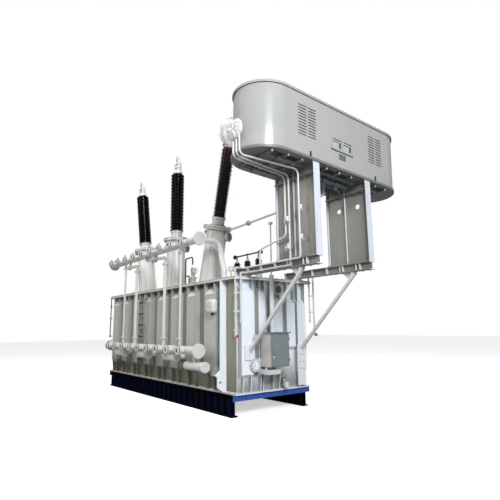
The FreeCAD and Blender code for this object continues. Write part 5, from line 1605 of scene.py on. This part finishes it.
# ---- cabinet
@dataclass
class CabinetTrim:
    """Folded rim and lock of the cabinet's door, seams and screws of its shell, and its glands."""

    shop: Workshop
    rim: float = 0.016
    proud: float = 0.004
    leaf_x: float = 3.804
    leaf_gap: float = 0.005
    leaf_end: float = 0.452
    lock_inset: float = 0.043
    gland_count: int = 4

    def build(self) -> None:
        """Build the fittings of the shell and of the door that swings on it."""
        self.build_door_rim()
        self.build_lock()
        self.build_shell_seams()
        self.build_glands()

    def leaf(self) -> tuple:
        """Work out where the door's leaf is, without its handle and hinge.

        Returns:
            The low corner of its outer face, and the high one with X left at 0.
        """
        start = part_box("cabinet_shell")[0][1]
        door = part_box("cabinet_door")
        face = self.shop.at(self.leaf_x, 0.0, 0.0).x
        return Vector((face, start + self.leaf_gap, door[0][2])), Vector((0.0, start + self.leaf_end, door[1][2]))

    def build_door_rim(self) -> None:
        """Raised edge round the door, and its stiffening line."""
        low, high = self.leaf()
        bm = bmesh.new()
        x0, x1 = low.x - 0.001, low.x + self.proud
        for z in (low.z + 0.001, high.z - self.rim - 0.001):
            block(bm, (x0, low.y + 0.001, z), (x1, high.y - 0.001, z + self.rim), 0.0015, 2)
        for y in (low.y + 0.001, high.y - self.rim - 0.001):
            block(bm, (x0, y, low.z + 0.001), (x1, y + self.rim, high.z - 0.001), 0.0015, 2)
        self.shop.make("door_rim", bm, "cabinet", Slot.CABINET, DOOR)

    def build_lock(self) -> None:
        """Key barrel and escutcheon under the handle, and screws of its plate."""
        low = self.leaf()[0]
        bm = bmesh.new()
        middle = Vector((low.x, low.y + self.lock_inset, low.z + 0.18))
        turn(bm, facing(middle, RIGHT),
             [(0.018, -0.001), (0.018, 0.004), (0.014, 0.007), (0.006, 0.007), (0.006, 0.004), (0.0, 0.004)], 28)
        for z in (low.z + 0.245, low.z + 0.31):
            bolt(bm, Vector((low.x + 0.008, low.y + self.lock_inset, z)), RIGHT, 0.004)
        self.shop.make("door_lock", bm, "bright_metal", Slot.METAL, DOOR)

    def build_shell_seams(self) -> None:
        """Folded seams of the side, and screws under the cap."""
        low, high = (Vector(corner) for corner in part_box("cabinet_shell"))
        bm = bmesh.new()
        for z in (low.z + 0.02, high.z - 0.03):
            block(bm, (low.x + 0.02, low.y - 0.003, z), (low.x + 0.295, low.y + 0.002, z + 0.010), 0.001, 1)
        for x in (low.x + 0.02, low.x + 0.285):
            block(bm, (x, low.y - 0.003, low.z + 0.02), (x + 0.010, low.y + 0.002, high.z - 0.02), 0.001, 1)
        self.shop.make("shell_seams", bm, "cabinet_side", Slot.CABINET)
        bm = bmesh.new()
        for index in range(5):
            spot = Vector((low.x + 0.04 + index * 0.06, low.y - 0.021, high.z + 0.013))
            bolt(bm, spot, FRONT, 0.005)
        self.shop.make_bolts("cap_screws", bm)

    def build_glands(self) -> None:
        """Pairs of nuts and a ring on each cable gland."""
        low, high = (Vector(corner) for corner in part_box("cable_glands"))
        bm = bmesh.new()
        middle = (low.x + high.x) / 2
        pitch = (high.y - low.y - 0.044) / (self.gland_count - 1)
        for index in range(self.gland_count):
            spot = Vector((middle, low.y + 0.022 + index * pitch, low.z))
            for rise in (0.006, 0.030):
                bar(bm, spot + UP * rise, spot + UP * (rise + 0.014), 0.028, segments=6)
            hoop(bm, facing(spot + UP * 0.026, UP), 0.022, 0.003, 20, 6)
        self.shop.make("gland_nuts", bm, "bright_metal", Slot.METAL)


# ---- end wall and cover fittings
@dataclass
class EndFittings:
    """Rings, bolts and small valves of the right end wall's flanges."""

    shop: Workshop
    flanges: tuple = (("manhole", 0.06, 2.49, 0.125, 3.425), ("handhole", -0.575, 0.97, 0.138, 3.445),
                      ("drain", 0.20, 0.53, 0.066, 3.475))
    plate: float = 0.011
    cock: tuple = (3.39, 0.195)
    cock_foot: float = 0.585
    wheel_height: float = 0.668

    def build(self) -> None:
        """Build every flange's rings and bolts, and the drain's fittings."""
        for name, y, z, radius, face in self.flanges:
            self.build_flange(name, self.shop.at(face, y, z), radius)
        self.build_drain()

    def build_flange(self, name: str, spot: Vector, radius: float) -> None:
        """Stepped rings on a blank, its bolts, and the gasket between its plates.

        Args:
            name: which flange.
            spot: middle of its outer face.
            radius: radius of its plates.
        """
        out = facing(spot, RIGHT)
        rings, bolts, gasket = bmesh.new(), bmesh.new(), bmesh.new()
        turn(rings, out,
             [(radius * 0.66, -0.001), (radius * 0.64, 0.007), (radius * 0.50, 0.008), (radius * 0.47, 0.001),
              (radius * 0.34, 0.001), (radius * 0.31, 0.012), (radius * 0.12, 0.014), (0.0, 0.014)], 40)
        bolt_ring(bolts, out, radius * 0.84, 12 if radius > 0.1 else 6, radius * 0.075)
        turn(gasket, lift(out, -self.plate - 0.002),
             [(radius * 0.6, 0.0), (radius * 0.97, 0.0), (radius * 0.97, 0.002), (radius * 0.6, 0.002)], 40)
        self.shop.make(name + "_rings", rings, "shade_grey" if name == "manhole" else "end_side", Slot.TANK)
        self.shop.make_bolts(name + "_bolts", bolts)
        self.shop.make(name + "_gasket", gasket, "black", Slot.BLACK)

    def build_drain(self) -> None:
        """Sampling cock over the drain, its red wheel and its green plug."""
        shop = self.shop
        body, red, green = bmesh.new(), bmesh.new(), bmesh.new()
        turn(body, facing(shop.at(*self.cock, self.cock_foot), UP),
             [(0.0, 0.0), (0.022, 0.0), (0.022, 0.02), (0.015, 0.026), (0.015, 0.06), (0.009, 0.066), (0.009, 0.085),
              (0.0, 0.085)], 24)
        middle = shop.at(*self.cock, self.wheel_height)
        hoop(red, facing(middle, UP), 0.036, 0.008, 28, 8)
        for angle in (0.0, 60.0, 120.0):
            turned = Matrix.Rotation(math.radians(angle), 4, "Z") @ Vector((0.034, 0.0, 0.0))
            bar(red, middle - turned, middle + turned, 0.005, segments=8)
        block(green, shop.at(3.395, 0.105, 0.56), shop.at(3.44, 0.145, 0.66), 0.008, 3)
        shop.make("drain_cock", body, "bright_metal", Slot.METAL)
        shop.make("drain_wheel", red, "signal_red", Slot.RED)
        shop.make("drain_plug", green, "signal_green", Slot.PIPE)


@dataclass
class CoverFittings:
    """Details of the small bushings, the cover valve, the relief drum and the vent pipe."""

    shop: Workshop
    xs: tuple = (2.45, 2.835, 3.22)
    row_y: float = -0.30
    pedestal: float = 0.25
    core: float = 0.054
    shed: float = 0.082
    height: float = 0.17
    sheds: int = 4
    terminal_bar: float = 0.577
    valve: tuple = (1.535, -0.92)
    vent_x: float = 1.69
    vent_y: float = -0.55
    vent_lean: float = 14.2
    vent_out: float = 0.31
    vent_side: float = 0.11
    vent_up: float = 1.311
    relay_end: tuple = (4.71, 0.19, 4.27)
    relay_back: float = 0.26

    def build(self) -> None:
        """Build every fitting on the cover."""
        self.build_small_bushings()
        self.build_pedestal_bolts()
        self.build_cover_valve()
        self.build_relief_drum()
        self.build_vent_details()

    def build_small_bushings(self) -> None:
        """Rounded sheds, washers and studs of the three small bushings."""
        bm, metal = bmesh.new(), bmesh.new()
        base = self.shop.cover + self.pedestal
        step = self.height / (self.sheds + 0.5)
        for x in self.xs:
            outline = [(0.0, 0.0), (self.core, 0.0)]
            for index in range(self.sheds):
                low = step * (index + 0.5)
                outline += [(self.core, low - 0.002), (self.shed - 0.008, low - 0.001), (self.shed, low + 0.005),
                            (self.shed - 0.006, low + 0.012), (self.core + 0.008, low + 0.022),
                            (self.core, low + 0.026)]
            outline += [(self.core, self.height - 0.004), (self.core - 0.01, self.height), (0.0, self.height)]
            place = facing(self.shop.at(x, self.row_y, base), UP)
            turn(bm, place, outline, 32)
            top = lift(place, self.height)
            turn(metal, top, [(0.0, -0.001), (0.05, -0.001), (0.052, 0.006), (0.047, 0.024), (0.0, 0.032)], 28)
            for rise in (0.045, 0.075):
                spot = top @ Vector((0.0, 0.0, rise))
                bar(metal, spot, spot + UP * 0.014, 0.026, segments=6)
            bar(metal, top @ Vector((0, 0, 0.02)), top @ Vector((0, 0, 0.136)), 0.0155, segments=16)
        self.shop.make("small_bushing_sheds", bm, "glaze_black", Slot.BLACK_GLAZE, replaces=("small_bushings",))
        self.shop.make_bolts("small_bushing_studs", metal)

    def build_pedestal_bolts(self) -> None:
        """Bolts at the feet and collars of the small bushings' pedestals and on the bar."""
        bm = bmesh.new()
        for x in self.xs:
            for height, radius in ((0.02, 0.087), (self.pedestal, 0.08)):
                place = facing(self.shop.at(x, self.row_y, self.shop.cover + height), UP)
                bolt_ring(bm, place, radius, 8, 0.009, 22.5)
            bolt(bm, self.shop.at(x, self.row_y, self.shop.cover + self.terminal_bar), UP, 0.018)
        self.shop.make_bolts("pedestal_bolts", bm)

    def build_cover_valve(self) -> None:
        """Handwheel, flange bolts and gland of the valve beside the right turret."""
        spot = self.shop.at(*self.valve, self.shop.cover)
        bolts, wheel, gland = bmesh.new(), bmesh.new(), bmesh.new()
        bolt_ring(bolts, facing(spot + UP * 0.018, UP), 0.076, 8, 0.009)
        bolt_ring(bolts, facing(spot + UP * 0.151, UP), 0.082, 8, 0.009)
        rim = facing(spot + Vector((0.16, -0.02, 0.30)), Vector((0.75, -0.45, 0.5)))
        hoop(wheel, rim, 0.062, 0.010, 36, 10)
        for angle in (0.0, 72.0, 144.0, 216.0, 288.0):
            edge = rim @ (Matrix.Rotation(math.radians(angle), 4, "Z") @ Vector((0.06, 0.0, 0.0)))
            bar(wheel, rim.translation, edge, 0.006, segments=8)
        bar(gland, rim @ Vector((0, 0, -0.13)), rim @ Vector((0, 0, 0.02)), 0.011, segments=14)
        for height in (0.30, 0.34):
            hoop(gland, facing(spot + UP * height, UP), 0.048, 0.006, 28, 8)
        self.shop.make_bolts("cover_valve_bolts", bolts)
        self.shop.make("cover_valve_wheel", wheel, "turret", Slot.PIPE)
        self.shop.make("cover_valve_gland", gland, "primer", Slot.BLACK)

    def build_relief_drum(self) -> None:
        """Rolled beads and cap screws of the relief drum."""
        low, high = (Vector(corner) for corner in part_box("relief_drum"))
        middle = (low + high) / 2
        bm, screws = bmesh.new(), bmesh.new()
        for z in (high.z - 0.088, high.z - 0.047, high.z - 0.008):
            hoop(bm, facing(Vector((middle.x, middle.y, z)), UP), 0.066, 0.004, 32, 6)
        bolt_ring(screws, facing(Vector((middle.x, middle.y, high.z)), UP), 0.05, 8, 0.006)
        self.shop.make("relief_drum_beads", bm, "turret", Slot.TANK)
        self.shop.make_bolts("relief_drum_screws", screws)

    def build_vent_details(self) -> None:
        """Flange bolts and windows of the gas relay and the joint rings of the vent pipe."""
        corner = self.shop.at(*self.relay_end)
        lean = math.radians(self.vent_lean)
        turret_top = self.shop.at(self.vent_x, self.vent_y, self.shop.cover) + Vector((
            self.vent_out * math.cos(lean) + self.vent_up * math.sin(lean), self.vent_side,
            self.vent_up * math.cos(lean) - self.vent_out * math.sin(lean)))
        slope = (corner - turret_top).normalized()
        middle = corner - slope * self.relay_back
        body, bolts, glass = bmesh.new(), bmesh.new(), bmesh.new()
        for way in (-1.0, 1.0):
            bolt_ring(bolts, facing(middle + slope * way * 0.099, -slope * way), 0.079, 6, 0.009)
        side = Vector((slope.y, -slope.x, 0.0)).normalized()
        for way in (-1.0, 1.0):
            face = facing(middle + side * way * 0.052, side * way)
            turn(body, face, [(0.046, 0.0), (0.046, 0.012), (0.040, 0.016), (0.033, 0.016), (0.033, 0.010)], 32)
            turn(glass, face, [(0.034, 0.008), (0.0, 0.010)], 32)
        turn(body, facing(middle + UP * 0.09, UP),
             [(0.036, 0.0), (0.052, 0.0), (0.054, 0.006), (0.052, 0.026), (0.02, 0.034), (0.02, 0.055), (0.0, 0.058)],
             32)
        for along in (0.56, 0.61):
            hoop(body, facing(turret_top + slope * along, slope), 0.048, 0.006, 32, 8)
        bolt_ring(bolts, facing(turret_top + slope * 0.585, slope), 0.052, 6, 0.010)
        self.shop.make("relay_body_rings", body, "relay", Slot.RELAY)
        self.shop.make_bolts("relay_bolts", bolts)
        self.shop.make("relay_windows", glass, "pane", Slot.BLACK)


# ---- studio
@dataclass
class Studio:
    """Floor, lights, world and camera."""

    lens: float = 30.91
    offset: Vector = field(default_factory=lambda: Vector((10.272, -6.008, 1.708)))
    yaw: float = 52.14
    pitch: float = 10.18
    roll: float = -0.678
    surround: float = 0.34
    bounce: float = 0.34
    glow: float = 0.55
    floor_reach: float = 60.0
    sensor: float = 36.0
    far_clip: float = 300.0
    lights: tuple = (
        ("end_key", (14.0, -6.0, 8.0), (1.5, 0.0, 2.0), 4.0, 1900.0, (0.94, 0.97, 1.0)),
        ("long_fill", (-4.0, -13.0, 8.0), (-1.0, 0.0, 2.5), 5.0, 620.0, (1.0, 0.97, 0.91)),
        ("top", (0.0, -3.0, 14.0), (0.0, 0.0, 2.0), 5.0, 900.0, (1.0, 1.0, 1.0)),
        ("rear", (-8.0, 12.0, 7.0), (0.0, 0.0, 2.5), 6.0, 520.0, (1.0, 1.0, 1.0)))

    def build(self, middle: float) -> None:
        """Make all of it.

        Args:
            middle: where the tank's middle is along the machine.
        """
        self.floor()
        self.world()
        self.camera(middle)
        for light in self.lights:
            self.light(*light)

    def floor(self) -> None:
        """Pale floor with a faint mottle, darker as the light bounces off it than as it is seen."""
        bm = bmesh.new()
        bmesh.ops.create_grid(bm, x_segments=1, y_segments=1, size=self.floor_reach)
        mesh = bpy.data.meshes.new("studio_floor")
        bm.to_mesh(mesh)
        bm.free()
        thing = bpy.data.objects.new("studio_floor", mesh)
        bpy.context.scene.collection.objects.link(thing)
        material, tree, shader = new_material("studio_floor")
        spots = add_node(tree, "ShaderNodeTexNoise")
        spots.inputs["Scale"].default_value = 0.6
        path = add_node(tree, "ShaderNodeLightPath")
        seen = mix_colour(tree, spots.outputs["Fac"], (0.90, 0.90, 0.90), (0.94, 0.94, 0.94))
        shade = (self.bounce, self.bounce, self.bounce)
        tree.links.new(mix_colour(tree, path.outputs["Is Camera Ray"], shade, seen), shader.inputs["Base Color"])
        shader.inputs["Roughness"].default_value = 0.9
        glow = math_node(tree, "MULTIPLY", path.outputs["Is Camera Ray"], self.glow)
        tree.links.new(glow, shader.inputs["Emission Strength"])
        shader.inputs["Emission Color"].default_value = (1.0, 1.0, 1.0, 1.0)
        mesh.materials.append(material)

    def world(self) -> None:
        """Even white surroundings, dimmer as a light than as they are seen."""
        world = bpy.data.worlds.new("studio")
        bpy.context.scene.world = world
        world.use_nodes = True
        tree = world.node_tree
        back = tree.nodes["Background"]
        back.inputs["Color"].default_value = (1.0, 1.0, 1.0, 1.0)
        path = add_node(tree, "ShaderNodeLightPath")
        strength = scaled(tree, path.outputs["Is Camera Ray"], 1.0 - self.surround, self.surround)
        tree.links.new(strength, back.inputs["Strength"])
        bpy.context.scene.view_settings.view_transform = "Standard"

    def light(self, name: str, place: Sequence[float], aim: Sequence[float], size: float, power: float,
              colour: Sequence[float]) -> None:
        """Place a square area light that looks at a point.

        Args:
            name: the light's name.
            place: where it stands.
            aim: the point that it looks at.
            size: side of its square.
            power: its power in watts.
            colour: its colour.
        """
        data = bpy.data.lights.new(name, "AREA")
        data.size = size
        data.energy = power
        data.color = colour
        thing = bpy.data.objects.new(name, data)
        thing.location = place
        thing.rotation_euler = (Vector(aim) - Vector(place)).to_track_quat("-Z", "Y").to_euler()
        bpy.context.scene.collection.objects.link(thing)

    def camera(self, middle: float) -> None:
        """Camera a little above eye height, off the machine's right-hand corner.

        Args:
            middle: where the tank's middle is along the machine.
        """
        yaw, pitch, roll = (math.radians(value) for value in (self.yaw, self.pitch, self.roll))
        ahead = Vector((-math.sin(yaw) * math.cos(pitch), math.cos(yaw) * math.cos(pitch), math.sin(pitch)))
        right = Vector((math.cos(yaw), math.sin(yaw), 0.0))
        up = right.cross(ahead)
        across = right * math.cos(roll) + up * math.sin(roll)
        above = up * math.cos(roll) - right * math.sin(roll)
        matrix = Matrix((across, above, -ahead)).transposed().to_4x4()
        matrix.translation = self.offset + RIGHT * middle
        data = bpy.data.cameras.new("camera")
        data.lens = self.lens
        data.sensor_width = self.sensor
        data.clip_end = self.far_clip
        thing = bpy.data.objects.new("camera", data)
        thing.matrix_world = matrix
        bpy.context.scene.collection.objects.link(thing)
        bpy.context.scene.camera = thing


def main() -> None:
    """Build every sub-assembly in order."""
    logging.basicConfig(level=logging.INFO)
    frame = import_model()
    palette = Palette()
    for node, thing in frame["nodes"].items():
        palette.dress(node, thing)
    shop = Workshop(palette)
    Studio().build(shop.middle)
    assemblies = [
        Bushing(shop, "left", -1.69, -11.8, 0.112, 0.188, "glaze_black", Slot.BLACK_GLAZE),
        Bushing(shop, "middle", 0.0, 0.0, 0.112, 0.184, "glaze_black", Slot.BLACK_GLAZE),
        Bushing(shop, "right", 1.69, 14.2, 0.122, 0.162, "glaze_brown", Slot.BROWN_GLAZE),
        OilHeaders(shop), TankTrim(shop), ConservatorTrim(shop), BracketTrim(shop), ConduitTrim(shop),
        CabinetTrim(shop), EndFittings(shop), CoverFittings(shop),
    ]
    for assembly in assemblies:
        assembly.build()
        log.info("%s done, %d pieces so far", type(assembly).__name__, shop.pieces)


if __name__ == "__main__":
    main()
